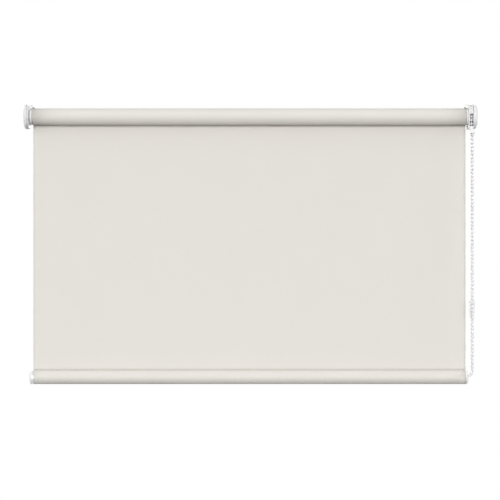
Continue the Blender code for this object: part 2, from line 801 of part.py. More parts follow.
def make_idler_pin(parent):
    """Pin with a collar behind the plug's mouth and a stem inside the spring."""
    collar_x = PLUG_NOSE_X + PLUG_LIP + GAP
    stem_x = collar_x + PIN_COLLAR_LENGTH
    tip_x = PLUG_NOSE_X - PIN_REACH
    profile = [
        (0, stem_x + PIN_STEM_LENGTH),
        (PIN_STEM_RADIUS, stem_x + PIN_STEM_LENGTH),
        (PIN_STEM_RADIUS, stem_x),
        (PIN_COLLAR, stem_x),
        (PIN_COLLAR, collar_x),
        (PIN_RADIUS, collar_x),
        (PIN_RADIUS, tip_x + PIN_CHAMFER),
        (PIN_RADIUS - PIN_CHAMFER, tip_x),
        (0, tip_x),
    ]
    pin = as_part(turned(profile, steps=SMALL_ROUND), "idler_pin", "steel", parent)
    pin.location = -parent.location
    return pin


def make_idler_spring():
    """Compression spring between the pin's collar and the floor of the plug's bore."""
    start = PLUG_NOSE_X + PLUG_LIP + GAP + PIN_COLLAR_LENGTH + GAP + IDLER_WIRE / 2
    end = PLUG_FACE_X + PLUG_LENGTH - PLUG_FLOOR - GAP - IDLER_WIRE / 2
    pitch = (end - start) / IDLER_TURNS
    print_gap("idler_spring", pitch, IDLER_WIRE)
    points = coil(IDLER_COIL, start, IDLER_TURNS, pitch, per_turn=10)
    return as_part(wire(points, IDLER_WIRE / 2, 1), "idler_spring", "steel")


# Tube and fabric


def make_roller_tube():
    """Aluminium tube."""
    outlines = [circle(TUBE_RADIUS, ROUND), circle(TUBE_BORE, ROUND)]
    tube = extruded(outlines, -TUBE_END_X, TUBE_END_X)
    return as_part(tube, "roller_tube", "aluminium")


def tape_angles(count, spare=0.0):
    """Angles across the tape, which lies over the top of the tube toward the wall."""
    middle = math.pi / 4
    half = TAPE_ARC / 2 + spare
    return [middle - half + 2 * half * i / count for i in range(count + 1)]


def make_fabric_roll():
    """The wound fabric: the outer layer is a spiral that ends where the sheet hangs down.

    The radius falls by one layer and its gap over a turn, so the end of the outer layer
    shows as a step. The bore has a shallow groove for the tape.
    """
    fall = FABRIC_THICK + GAP
    outer = []
    for i in range(ROUND + 1):
        share = i / ROUND
        radius = ROLL_RADIUS - fall * share
        a = 2 * math.pi * share
        outer.append((radius * math.cos(a), radius * math.sin(a)))
    bore = TUBE_RADIUS + GAP
    groove = bore + TAPE_THICK + GAP
    spare = GAP / bore
    sector = tape_angles(4, spare)
    inner = [(groove * math.cos(a), groove * math.sin(a)) for a in sector]
    rest = 2 * math.pi - (sector[-1] - sector[0])
    for i in range(ROUND + 1):
        a = sector[-1] + rest * i / ROUND
        inner.append((bore * math.cos(a), bore * math.sin(a)))
    roll = extruded([outer, inner], -EDGE_X, EDGE_X)
    return as_part(roll, "fabric_roll", "blackout_fabric")


def make_fabric_tape():
    """Adhesive strip along the tube."""
    low = TUBE_RADIUS + GAP
    high = low + TAPE_THICK
    angles = tape_angles(4)
    outline = [(low * math.cos(a), low * math.sin(a)) for a in angles]
    outline += [(high * math.cos(a), high * math.sin(a)) for a in reversed(angles)]
    reach = EDGE_X - TAPE_INSET
    return as_part(extruded([outline], -reach, reach), "fabric_tape", "clear_tape")


def make_fabric_sheet():
    """The hanging fabric, from the end of the outer layer down to the welded seam."""
    sheet = block(
        -EDGE_X,
        EDGE_X,
        ROLL_RADIUS - FABRIC_THICK,
        ROLL_RADIUS,
        RAIL_TOP + SEAM_HEIGHT + GAP,
        -GAP,
    )
    return as_part(sheet, "fabric_sheet", "blackout_fabric")


# Bottom rail


def make_hem_pocket(parent):
    """Loop of fabric round the bar, with the two layers of its seam standing on top."""
    outer = drop_outline()
    top = len(outer) // 4
    foot_z = RAIL_Z + SEAM_FOOT * RAIL_HIGH
    seam = [
        (SHEET_Y + FABRIC_THICK, foot_z),
        (SHEET_Y + FABRIC_THICK, RAIL_TOP + SEAM_HEIGHT),
        (SHEET_Y - FABRIC_THICK, RAIL_TOP + SEAM_HEIGHT),
        (SHEET_Y - FABRIC_THICK, foot_z),
    ]
    outline = outer[:top] + seam + outer[top + 1 :]
    pocket = extruded([outline, drop_outline(FABRIC_THICK)], -EDGE_X, EDGE_X)
    pocket = as_part(pocket, "hem_pocket", "blackout_fabric", parent)
    pocket.location = -parent.location
    return pocket


def make_weight_bar(parent):
    """Drop-shaped aluminium tube, a little longer than the pocket."""
    inset = FABRIC_THICK + GAP
    outlines = [drop_outline(inset), drop_outline(inset + BAR_WALL)]
    bar = extruded(outlines, BAR_LEFT_X + GAP, BAR_RIGHT_X - GAP)
    bar = as_part(bar, "weight_bar", "aluminium", parent)
    bar.location = -parent.location
    return bar


def make_rail_cap(name, face_x, side, parent):
    """Cap with a tongue inside the bar and a domed head.

    The head's sections shrink along its length like a quarter of a superellipse.
    """
    tongue = FABRIC_THICK + GAP + BAR_WALL + GAP
    rings = [
        (face_x - side * CAP_TONGUE, tongue, 1),
        (face_x, tongue, 1),
        (face_x, 0, 1),
        (face_x + side * CAP_RIM, 0, 1),
    ]
    steps = 6
    for i in range(1, steps + 1):
        a = math.pi / 2 * i / (steps + 0.5)
        shrink = math.cos(a) ** (2 / CAP_SQUARENESS)
        reach = math.sin(a) ** (2 / CAP_SQUARENESS) if i < steps else 1
        rings.append((face_x + side * (CAP_RIM + (CAP_DOME - CAP_RIM) * reach), 0, shrink))
    points = [
        [(x, y, z) for y, z in drop_outline(inset, shrink, SMALL_ROUND)]
        for x, inset, shrink in rings
    ]
    cap = as_part(lofted(points), name, "white_plastic", parent)
    cap.location = -parent.location
    return cap


# Chain drive


def make_drive_hub():
    """Hub that plugs into the tube, with a bore for the clutch and slots for the dogs."""
    face = HUB_FACE_X
    inner_end = EDGE_X + GAP - HUB_LENGTH
    body = TUBE_BORE - GAP
    profile = [
        (HUB_BORE, face),
        (FLANGE_RADIUS, face),
        (FLANGE_RADIUS, EDGE_X + GAP),
        (body, EDGE_X + GAP),
        (body, inner_end),
        (CORE_RADIUS + RUN_GAP, inner_end),
        (CORE_RADIUS + RUN_GAP, inner_end + HUB_LIP),
        (HUB_BORE, inner_end + HUB_LIP),
    ]
    hub = turned(profile, closed=True)
    reach = DOG_RADIUS + GAP
    half = DOG_THICK / 2 + GAP
    slot_x = WHEEL_X - WHEEL_WIDTH / 2 - DOG_REACH - GAP
    cut(hub, block(slot_x, face + OVER, -reach, reach, -half, half))
    return as_part(hub, "drive_hub", "white_plastic")


def make_sprocket():
    """Grooved chain wheel with scalloped rims and two dogs that drive the hub."""
    count = 4 * BEADS_ROUND_WHEEL
    floor = PITCH_RADIUS - BEAD / 2 - GAP

    def rim(x):
        ring = []
        for i in range(count):
            a = 2 * math.pi * i / count
            radius = WHEEL_RIM_RADIUS - WHEEL_SCALLOP * (1 + math.cos(BEADS_ROUND_WHEEL * a))
            ring.append((x, radius * math.cos(a), radius * math.sin(a)))
        return ring

    def groove(x):
        return [(x, y, z) for y, z in circle(floor, count)]

    low, high = WHEEL_X - WHEEL_WIDTH / 2, WHEEL_X + WHEEL_WIDTH / 2
    wheel = lofted(
        [
            rim(low),
            rim(low + WHEEL_RIM),
            groove(low + WHEEL_RIM),
            groove(high - WHEEL_RIM),
            rim(high - WHEEL_RIM),
            rim(high),
        ]
    )
    bore_radius = CORE_RADIUS + RUN_GAP
    dog_low = HUB_BORE + GAP
    for side in (-1, 1):
        dog = block(
            low - DOG_REACH,
            low + WHEEL_RIM / 2,
            side * dog_low,
            side * DOG_RADIUS,
            -DOG_THICK / 2,
            DOG_THICK / 2,
        )
        joined(wheel, dog)
    cut(wheel, rod((low - OVER, 0, 0), (high + OVER, 0, 0), bore_radius, sides=ROUND))
    return as_part(wheel, "sprocket", "white_plastic")


def make_chain_guard():
    """Drum round the wheel, with a front slot and a flared outlet under it for both strands."""
    quarter = [math.pi / 2 * i / 3 for i in range(4)]
    high, low = GUARD_END_X - GUARD_EDGE, GUARD_X + GUARD_EDGE
    core = GUARD_RADIUS - GUARD_EDGE
    outer = [(core + GUARD_EDGE * math.sin(a), high + GUARD_EDGE * math.cos(a)) for a in quarter]
    outer += [(core + GUARD_EDGE * math.cos(a), low - GUARD_EDGE * math.sin(a)) for a in quarter]
    drum = turned(
        [
            (GUARD_INSIDE, GUARD_END_X),
            *outer,
            (GUARD_HOLE, GUARD_X),
            (GUARD_HOLE, GUARD_X + GUARD_SIDE),
            (GUARD_INSIDE, GUARD_X + GUARD_SIDE),
        ],
        closed=True,
    )
    half = BEAD / 2 + RUN_GAP
    wide = half + OUTLET_WALL
    reach = PITCH_RADIUS + half
    outer_reach = reach + OUTLET_DEPTH_WALL
    lean_x = CHAIN_X - OUTLET_LEAN

    def section(x0, x1, y, z):
        return [(x0, -y, z), (x1, -y, z), (x1, y, z), (x0, y, z)]

    flare_x = (GUARD_X + FLARE_INSET, GUARD_END_X - FLARE_INSET)
    flare = lofted(
        [
            section(*flare_x, outer_reach, FLARE_OVERLAP - GUARD_FLARE_TOP),
            section(*flare_x, outer_reach, -GUARD_FLARE_TOP),
            section(GUARD_X + FLARE_NARROW, GUARD_END_X, outer_reach, -GUARD_FLARE_LOW),
            section(lean_x - wide, lean_x + wide, outer_reach, -OUTLET_TOP),
            section(CHAIN_X - wide, CHAIN_X + wide, outer_reach, -OUTLET_END),
        ]
    )
    throat_x = GUARD_X + GUARD_SIDE
    throat = lofted(
        [
            section(throat_x, GUARD_END_X + OVER, reach, 0),
            section(throat_x, GUARD_END_X + OVER, reach, -GUARD_FLARE_TOP),
            section(throat_x + FLARE_NARROW, GUARD_END_X + OVER, reach, -GUARD_FLARE_LOW),
            section(lean_x - half, lean_x + half, reach, -OUTLET_TOP),
            section(CHAIN_X - half, CHAIN_X + half, reach, -OUTLET_END - OVER),
        ]
    )
    clear_drum = rod(
        (throat_x, 0, 0), (GUARD_END_X + OVER, 0, 0), GUARD_INSIDE + FLARE_INSET, sides=ROUND
    )
    slot = block(
        WHEEL_X - SLOT_WIDTH / 2,
        WHEEL_X + SLOT_WIDTH / 2,
        -GUARD_RADIUS - OVER,
        -PITCH_RADIUS,
        -SLOT_END,
        SLOT_TOP,
    )
    side_hole = rod(
        (GUARD_X - OVER, 0, 0), (throat_x + OVER, 0, 0), GUARD_HOLE + FLARE_INSET, sides=ROUND
    )
    far = 2 * GUARD_RADIUS
    under_cap = block(GUARD_X - OVER, GUARD_END_X + OVER, -far, -GUARD_FLAT, -far, GUARD_CAP)
    guard = joined(cut(drum, under_cap), flare)
    cut(guard, throat, clear_drum, side_hole, slot)
    return as_part(guard, "chain_guard", "white_plastic")


def make_control_core():
    """Stationary spindle: a square tenon in the bracket and a stub for the clip."""
    end = EDGE_X + GAP - HUB_LENGTH
    profile = [
        (0, CHEEK_R_X - GAP),
        (CORE_RADIUS, CHEEK_R_X - GAP),
        (CORE_RADIUS, end),
        (CORE_STUB_RADIUS, end),
        (CORE_STUB_RADIUS, end - CORE_STUB_LENGTH),
        (0, end - CORE_STUB_LENGTH),
    ]
    half = CORE_TENON / 2
    tenon_end = CHEEK_R_X + CHEEK_THICK - GAP
    core = turned(profile, steps=SMALL_ROUND)
    joined(core, block(CHEEK_R_X - OVER, tenon_end, -half, half, -half, half))
    deep = (tenon_end - CORE_HOLE_DEPTH, 0, 0)
    hole = rod(deep, (tenon_end + OVER, 0, 0), SCREW_RADIUS + GAP, sides=12)
    cut(core, hole)
    return as_part(core, "control_core", "white_plastic")


def make_core_screw():
    """Pan-head screw through the bracket's cheek into the core."""
    head_x = CHEEK_R_X + CHEEK_THICK + GAP
    tip = head_x - SCREW_LENGTH
    profile = [
        (0, head_x + SCREW_HEAD_THICK),
        (SCREW_HEAD - SCREW_HEAD_EDGE, head_x + SCREW_HEAD_THICK),
        (SCREW_HEAD, head_x + SCREW_HEAD_THICK / 2),
        (SCREW_HEAD, head_x),
        (SCREW_RADIUS, head_x),
        (SCREW_RADIUS, tip + SCREW_POINT),
        (0, tip),
    ]
    return as_part(turned(profile, steps=12), "core_screw", "steel")


def make_core_clip():
    """Push-on ring on the core's stub, behind the hub."""
    face = EDGE_X + GAP - HUB_LENGTH - GAP
    outlines = [circle(CLIP_RADIUS), circle(CORE_STUB_RADIUS + GAP)]
    return as_part(extruded(outlines, face - CLIP_THICK, face), "core_clip", "steel")


def make_clutch_springs():
    """Two wrap springs on the core, one behind the other."""
    print_gap("clutch springs", CLUTCH_PITCH, CLUTCH_WIRE)
    length = CLUTCH_TURNS * CLUTCH_PITCH
    start = EDGE_X + GAP - HUB_LENGTH + HUB_LIP + GAP + CLUTCH_WIRE / 2
    for name in ("clutch_spring_inner", "clutch_spring_outer"):
        points = coil(CLUTCH_COIL, start, CLUTCH_TURNS, CLUTCH_PITCH, per_turn=10)
        as_part(wire(points, CLUTCH_WIRE / 2, 1), name, "steel")
        start += length + CLUTCH_WIRE + GAP


def make_chain_wrap():
    """The stretch of chain that lies over the wheel."""
    count = 16
    points = [(WHEEL_X, PITCH_RADIUS, -WRAP_TAIL)]
    for i in range(count + 1):
        a = math.pi * i / count
        points.append((WHEEL_X, PITCH_RADIUS * math.cos(a), PITCH_RADIUS * math.sin(a)))
    points.append((WHEEL_X, -PITCH_RADIUS, -WRAP_TAIL))
    return as_part(wire(points, BEAD / 2), "chain_wrap", "chain_plastic")


def make_bead_chain():
    """The free loop of the chain, as a plain tube of the beads' diameter."""
    route = [(WHEEL_X + x, y, z) for x, y, z in CHAIN_ROUTE]
    points = smooth_route(route, 3 * BEAD)
    length = sum((b - a).length for a, b in zip(points, points[1:]))
    print(f"bead_chain: {len(points)} points, {length:.4f} m")
    return as_part(wire(points, BEAD / 2), "bead_chain", "chain_plastic")


def joiner_blank():
    """The joiner before it is split: a slim block with round sides, a neck and the chain's bore."""
    flat = (JOINER_WIDTH - JOINER_DEPTH) / 2
    ring = []
    for side, start in ((1, -math.pi / 2), (-1, math.pi / 2)):
        for i in range(9):
            a = start + math.pi * i / 8
            ring.append(
                (
                    CHAIN_X + side * flat + JOINER_DEPTH / 2 * math.cos(a),
                    PITCH_RADIUS + JOINER_DEPTH / 2 * math.sin(a),
                )
            )
    shrink = 1 - 2 * JOINER_EDGE / JOINER_DEPTH
    levels = [
        (-JOINER_TOP, shrink),
        (-JOINER_TOP - JOINER_EDGE, 1),
        (-JOINER_TOP - JOINER_HEIGHT + JOINER_EDGE, 1),
        (-JOINER_TOP - JOINER_HEIGHT, shrink),
    ]
    rings = []
    for z, scale in levels:
        rings.append(
            [
                (CHAIN_X + (x - CHAIN_X) * scale, PITCH_RADIUS + (y - PITCH_RADIUS) * scale, z)
                for x, y in ring
            ]
        )
    blank = lofted(rings)
    low = -JOINER_TOP - JOINER_HEIGHT
    at = (CHAIN_X, PITCH_RADIUS)
    neck = rod((*at, low - NECK_HEIGHT), (*at, low + OVER), NECK_END_RADIUS, NECK_RADIUS)
    bore = rod((*at, low - NECK_HEIGHT - OVER), (*at, OVER - JOINER_TOP), BEAD / 2 + GAP)
    joined(blank, neck)
    cut(blank, bore)
    return blank


def make_joiner_half(name, side, parent):
    """One half of the chain joiner, on one side of the plane through the strand."""
    blank = joiner_blank()
    reach = JOINER_WIDTH
    plane = PITCH_RADIUS + side * GAP / 2
    away = block(
        CHAIN_X - reach,
        CHAIN_X + reach,
        plane,
        plane - side * reach,
        -JOINER_TOP - JOINER_HEIGHT - NECK_HEIGHT - reach,
        reach - JOINER_TOP,
    )
    cut(blank, away)
    half = as_part(blank, name, "chain_plastic", parent)
    half.location = -parent.location
    return half


# The blind


def make_blind():
    """Makes every piece, on the empties of the axes that they move on."""
    pin_axis = make_empty("pin_slide", (PLUG_NOSE_X, 0, 0), ROLLER_AXIS)
    rail_axis = make_empty("rail_slide", (0, SHEET_Y, RAIL_Z), ROLLER_AXIS)
    joiner_axis = make_empty(
        "joiner_slide", (CHAIN_X, PITCH_RADIUS, -JOINER_TOP), ROLLER_AXIS
    )
    make_left_bracket()
    make_cover(
        "left_bracket_cover", COVER_L_RIM_X, COVER_L_X, LEFT_COVER_EDGE, LEFT_COVER_INSIDE
    )
    make_right_bracket()
    make_cover(
        "right_bracket_cover", CHEEK_R_X, COVER_R_X, RIGHT_COVER_EDGE, RIGHT_COVER_INSIDE
    )
    make_idler_plug()
    make_idler_pin(pin_axis)
    make_idler_spring()
    make_roller_tube()
    make_fabric_roll()
    make_fabric_tape()
    make_fabric_sheet()
    make_hem_pocket(rail_axis)
    make_weight_bar(rail_axis)
    make_rail_cap("left_rail_cap", BAR_LEFT_X, -1, rail_axis)
    make_rail_cap("right_rail_cap", BAR_RIGHT_X, 1, rail_axis)
    make_drive_hub()
    make_sprocket()
    make_chain_guard()
    make_control_core()
    make_core_screw()
    make_core_clip()
    make_clutch_springs()
    make_chain_wrap()
    make_bead_chain()
    make_joiner_half("joiner_front_half", -1, joiner_axis)
    make_joiner_half("joiner_back_half", 1, joiner_axis)


make_blind()
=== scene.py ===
# %% [markdown]
# A small blackout roller blind, dressed piece by piece.
#
# The solid model is the frame of this lesson: its pieces have the right sizes and places, but
# plain surfaces. Each cell below makes one finish or one piece, most of them as a surface worked
# out with numpy, and lets it ride on the body that it belongs to.

# %% The frame
import json
import math

import bmesh
import bpy
import numpy as np
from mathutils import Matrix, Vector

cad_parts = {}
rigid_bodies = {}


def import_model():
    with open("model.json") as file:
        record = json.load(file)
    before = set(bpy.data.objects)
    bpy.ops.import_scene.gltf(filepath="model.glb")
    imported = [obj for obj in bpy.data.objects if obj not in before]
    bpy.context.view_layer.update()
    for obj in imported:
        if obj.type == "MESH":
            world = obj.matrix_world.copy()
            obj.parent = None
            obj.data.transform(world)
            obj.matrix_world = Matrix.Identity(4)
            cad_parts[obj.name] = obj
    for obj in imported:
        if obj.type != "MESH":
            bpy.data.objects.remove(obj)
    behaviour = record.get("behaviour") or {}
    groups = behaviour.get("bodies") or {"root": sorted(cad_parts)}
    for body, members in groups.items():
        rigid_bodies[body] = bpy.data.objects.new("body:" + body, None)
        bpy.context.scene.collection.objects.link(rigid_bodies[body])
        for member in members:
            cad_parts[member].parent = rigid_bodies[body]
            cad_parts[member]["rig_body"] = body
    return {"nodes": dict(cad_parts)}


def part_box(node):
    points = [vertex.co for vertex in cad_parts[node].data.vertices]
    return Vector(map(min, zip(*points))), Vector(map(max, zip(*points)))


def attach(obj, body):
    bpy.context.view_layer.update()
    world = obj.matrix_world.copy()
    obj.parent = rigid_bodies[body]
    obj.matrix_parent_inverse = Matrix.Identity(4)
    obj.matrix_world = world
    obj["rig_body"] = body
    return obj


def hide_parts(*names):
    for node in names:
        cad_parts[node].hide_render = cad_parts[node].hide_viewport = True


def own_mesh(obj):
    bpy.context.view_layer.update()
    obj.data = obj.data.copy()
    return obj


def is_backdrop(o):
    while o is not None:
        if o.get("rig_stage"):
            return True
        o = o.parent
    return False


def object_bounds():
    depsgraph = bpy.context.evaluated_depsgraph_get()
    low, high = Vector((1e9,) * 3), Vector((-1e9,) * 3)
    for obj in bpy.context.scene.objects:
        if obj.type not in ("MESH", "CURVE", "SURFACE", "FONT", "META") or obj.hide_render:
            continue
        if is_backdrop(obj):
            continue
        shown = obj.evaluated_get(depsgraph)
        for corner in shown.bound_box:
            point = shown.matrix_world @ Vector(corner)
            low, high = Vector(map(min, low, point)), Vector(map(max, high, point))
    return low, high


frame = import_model()
nodes = frame["nodes"]
cad_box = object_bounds()

# %% [markdown]
# Everything below is thought of in millimetres, from the middle of the fabric on the roller's
# axis, because that is how a blind is measured. One function turns such points into the metres of
# the frame, whose origin is the left bracket's wall face.

# %% Millimetres round the roller's axis
MM = 0.001
MIDDLE = np.array([355.5, -24.0, 0.0])
WALL_Y = 24.0


def place(points):
    """Points in millimetres round the middle of the roller's axis, as metres in the frame."""
    return (np.asarray(points, float) + MIDDLE) * MM


print("roller's axis at", place([0, 0, 0]))

# %% [markdown]
# The camera stands as the photographer's did: square to the fabric, about four and a half metres
# away with a long lens, level with the middle of the fabric. That shows no end of the roll and
# only a little of the brackets' inner sides.

# %% Camera
SHEET_Y = 13.3
VIEW_WIDTH = 810.0
VIEW_MIDDLE = (0.94, -215.3)
CAMERA_DISTANCE = 4500.0
SENSOR_WIDTH = 36.0
FARTHEST = 50.0

lens = bpy.data.cameras.new("camera")
lens.sensor_width = SENSOR_WIDTH
lens.lens = SENSOR_WIDTH * CAMERA_DISTANCE / VIEW_WIDTH
lens.clip_end = FARTHEST
camera = bpy.data.objects.new("camera", lens)
camera.location = place([VIEW_MIDDLE[0], SHEET_Y - CAMERA_DISTANCE, VIEW_MIDDLE[1]])
camera.rotation_euler = (math.radians(90), 0, 0)
bpy.context.scene.collection.objects.link(camera)
bpy.context.scene.camera = camera
bpy.context.scene.view_settings.view_transform = "Standard"
print("lens", round(lens.lens, 1), "mm at", tuple(round(v, 3) for v in camera.location))

# %% [markdown]
# Shader maths reads best as arithmetic. This small class wraps one output of a node, so that
# `0.3 + mask * 0.2` adds the Math nodes for it. Any other node comes from its `node` method, which
# takes the node's type, its settings and what goes into its sockets.


# %% Expressions on sockets
class Wire:
    """An output socket that can stand in arithmetic with numbers and other outputs."""

    def __init__(self, tree, socket=None):
        self.tree = tree
        self.socket = socket

    def node(self, kind, settings=None, inputs=None, output=0):
        """Adds a node, applies its settings, fills its sockets and gives one of its outputs."""
        made = self.tree.nodes.new(kind)
        for name, value in (settings or {}).items():
            setattr(made, name, value)
        for name, value in (inputs or {}).items():
            if isinstance(value, Wire):
                self.tree.links.new(value.socket, made.inputs[name])
            else:
                made.inputs[name].default_value = value
        return Wire(self.tree, made.outputs[output])

    def _math(self, operation, *values):
        return self.node("ShaderNodeMath", {"operation": operation}, dict(enumerate(values)))

    def __add__(self, other):
        return self._math("ADD", self, other)

    def __radd__(self, other):
        return self._math("ADD", other, self)

    def __mul__(self, other):
        return self._math("MULTIPLY", self, other)

    def __rmul__(self, other):
        return self._math("MULTIPLY", other, self)

    def sine(self):
        """The sine of the value, in radians."""
        return self._math("SINE", self)

    def between(self, low, high):
        """0 below low, 1 above high, and a smooth rise in between."""
        return self.node(
            "ShaderNodeMapRange",
            {"interpolation_type": "SMOOTHSTEP"},
            {"Value": self, "From Min": low, "From Max": high},
        )

    def noise(self, scale, detail=2.0, roughness=0.5):
        """Noise around 0.5, when the wire is a coordinate in metres."""
        inputs = {"Vector": self, "Scale": scale, "Detail": detail, "Roughness": roughness}
        return self.node("ShaderNodeTexNoise", {}, inputs)

    def stretched(self, x, y, z):
        """The coordinate with each of its three parts multiplied."""
        settings = {"operation": "MULTIPLY"}
        return self.node("ShaderNodeVectorMath", settings, {0: self, 1: (x, y, z)})

    def part(self, axis):
        """One part of a coordinate: X, Y or Z."""
        return self.node("ShaderNodeSeparateXYZ", {}, {"Vector": self}, output=axis)

    def tint(self, low, high):
        """A colour between two, by the wire's value."""
        mixer = self.node("ShaderNodeMix", {"data_type": "RGBA"}).socket.node
        self.tree.links.new(self.socket, mixer.inputs["Factor"])
        ends = [socket for socket in mixer.inputs if socket.type == "RGBA"]
        for end, colour in zip(ends, (low, high)):
            end.default_value = (*colour, 1)
        return Wire(self.tree, [s for s in mixer.outputs if s.type == "RGBA"][0])


print("arithmetic on sockets is ready")

# %% [markdown]
# Each finish starts as a Principled shader. What is the same all over is set on the shader itself;
# what varies is worked out from a coordinate and goes to colour, roughness or a bump.


# %% A finish
def finish(name, roughness, metallic=0.0, **constants):
    """A new material, its Principled shader, and a wire to start expressions from."""
    material = bpy.data.materials.new(name)
    material.use_nodes = True
    shader = material.node_tree.nodes["Principled BSDF"]
    shader.inputs["Roughness"].default_value = roughness
    shader.inputs["Metallic"].default_value = metallic
    for socket, value in constants.items():
        shader.inputs[socket.replace("_", " ")].default_value = value
    return material, shader, Wire(material.node_tree)


def coordinate(start, output="Object"):
    """Object or UV coordinates of the piece."""
    return start.node("ShaderNodeTexCoord", {}, {}, output=output)


def feed(shader, socket, wire):
    """Links a wire to a socket of the shader."""
    wire.tree.links.new(wire.socket, shader.inputs[socket])


def emboss(shader, height, depth):
    """Bumps the surface by a height of 0 to 1 that stands for a depth in metres."""
    inputs = {"Height": height, "Distance": depth, "Strength": 1.0}
    feed(shader, "Normal", height.node("ShaderNodeBump", {}, inputs))


print("finishes can be made")

# %% [markdown]
# The fabric is a closely woven polyester with a blackout coating, in a warm off-white. From a
# step away it is flat and even, with a very faint grain: slubs that run along the warp and the
# weft. Closer, the plain weave shows, half a millimetre a thread. The pattern reads the pieces' UV
# map, which is laid out in metres, so that it follows the cloth round the roll.


# %% Blackout fabric
THREAD = 0.5
WEAVE_DEPTH = 0.08
OFF_WHITE = ((0.745, 0.718, 0.672), (0.822, 0.796, 0.748))


def make_fabric():
    """Plain weave from two crossed sines, slubs from stretched noise, on a warm off-white."""
    thread = 2 * math.pi / (THREAD * MM)
    material, shader, start = finish(
        "blackout_fabric", 0.9, Sheen_Weight=0.04, Sheen_Roughness=0.5, Specular_IOR_Level=0.15
    )
    uv = coordinate(start, "UV")
    across, along = uv.part(0), uv.part(1)
    weave = (across * thread).sine() * (along * thread).sine() * 0.5 + 0.5
    weft = uv.stretched(90.0, 1500.0, 1.0).noise(1.0)
    warp = uv.stretched(1500.0, 90.0, 1.0).noise(1.0)
    cloud = uv.noise(9.0, 3.0)
    tone = weft * 0.35 + warp * 0.35 + cloud * 0.15 + weave * 0.15
    feed(shader, "Base Color", tone.tint(*OFF_WHITE))
    emboss(shader, weave * 0.7 + weft * 0.3, WEAVE_DEPTH * MM)
    return material


FABRIC = make_fabric()
print(FABRIC.name)

# %% [markdown]
# The brackets, covers and caps are moulded in white plastic. A mould leaves a very fine grain and
# slow changes in gloss, never a mirror. The left bracket gets a greyer copy of that white, which
# is painted shade for the shade in its scooped hood, and the chain's beads have a smoother skin.


# %% Moulded plastics
def make_plastic(name, low, high, roughness, grain):
    """White plastic whose gloss drifts slowly and whose skin has a fine moulded grain.

    Light goes a few millimetres through it, which is what keeps its hollows pale.
    """
    material, shader, start = finish(
        name,
        roughness,
        Specular_IOR_Level=0.4,
        Subsurface_Weight=0.5,
        Subsurface_Radius=(1, 1, 1),
        Subsurface_Scale=2 * MM,
    )
    spot = coordinate(start)
    drift = spot.noise(60.0, 3.0)
    fine = spot.noise(5200.0, 2.0, 0.6)
    feed(shader, "Base Color", drift.tint(low, high))
    feed(shader, "Roughness", roughness - 0.06 + drift * 0.12)
    emboss(shader, fine, grain)
    return material


SATIN = ((0.80, 0.80, 0.802), (0.86, 0.86, 0.858))
# Painted shade: a greyer copy of the white, for the shade in the left bracket's scooped hood
PAINTED_SHADE_GREY = ((0.71, 0.71, 0.712), (0.77, 0.77, 0.768))
BRIGHT = ((0.85, 0.85, 0.848), (0.91, 0.91, 0.905))
MILKY = ((0.85, 0.85, 0.85), (0.90, 0.90, 0.898))
BRACKET_WHITE = make_plastic("bracket_white", *SATIN, 0.42, 0.02 * MM)
# The same white plastic, painted greyer as shade for the left bracket's recessed hood
HOOD_PAINTED_SHADE = make_plastic("hood_painted_shade", *PAINTED_SHADE_GREY, 0.42, 0.02 * MM)
CAP_WHITE = make_plastic("cap_white", *BRIGHT, 0.38, 0.015 * MM)
BEAD_WHITE = make_plastic("bead_white", *MILKY, 0.3, 0.005 * MM)
print(BRACKET_WHITE.name, CAP_WHITE.name, BEAD_WHITE.name)

# %% [markdown]
# Inside there are metals: the drawn aluminium of the tube and the bar, with die lines along it,
# and the bright steel of the pin, springs, clip and screw. A strip of tape holds the fabric.


# %% Metals and tape
def make_metal(name, colour, roughness, lines):
    """Metal with fine lines along X, from noise that is stretched along X."""
    material, shader, start = finish(name, roughness, 1.0)
    shader.inputs["Base Color"].default_value = (*colour, 1)
    streaks = coordinate(start).stretched(8.0, lines, lines).noise(1.0, 3.0)
    feed(shader, "Roughness", roughness - 0.08 + streaks * 0.16)
    emboss(shader, streaks, 0.01 * MM)
    return material


def make_tape():
    """Yellowish clear tape with slow blotches where the glue has taken."""
    material, shader, start = finish("clear_tape", 0.35)
    blotch = coordinate(start).noise(300.0, 2.0)
    feed(shader, "Base Color", blotch.tint((0.70, 0.67, 0.58), (0.78, 0.76, 0.69)))
    return material


ALUMINIUM = make_metal("drawn_aluminium", (0.80, 0.80, 0.81), 0.36, 3500.0)
STEEL = make_metal("bright_steel", (0.58, 0.58, 0.59), 0.28, 2500.0)
TAPE = make_tape()
print(ALUMINIUM.name, STEEL.name, TAPE.name)

# %% [markdown]
# A surface here is a grid of points: one array of rows by columns by three. The faces follow from
# the grid alone. Where a grid closes on itself its first column is repeated as the last, and where
# it ends in a pole a whole row is one point; merging the doubles closes both.


# %% From a grid to a piece
def quads_of(index):
    """The four corners of each cell of a grid of vertex numbers."""
    cells = np.stack([index[:-1, :-1], index[:-1, 1:], index[1:, 1:], index[1:, :-1]], axis=-1)
    return cells.reshape(-1, 4)


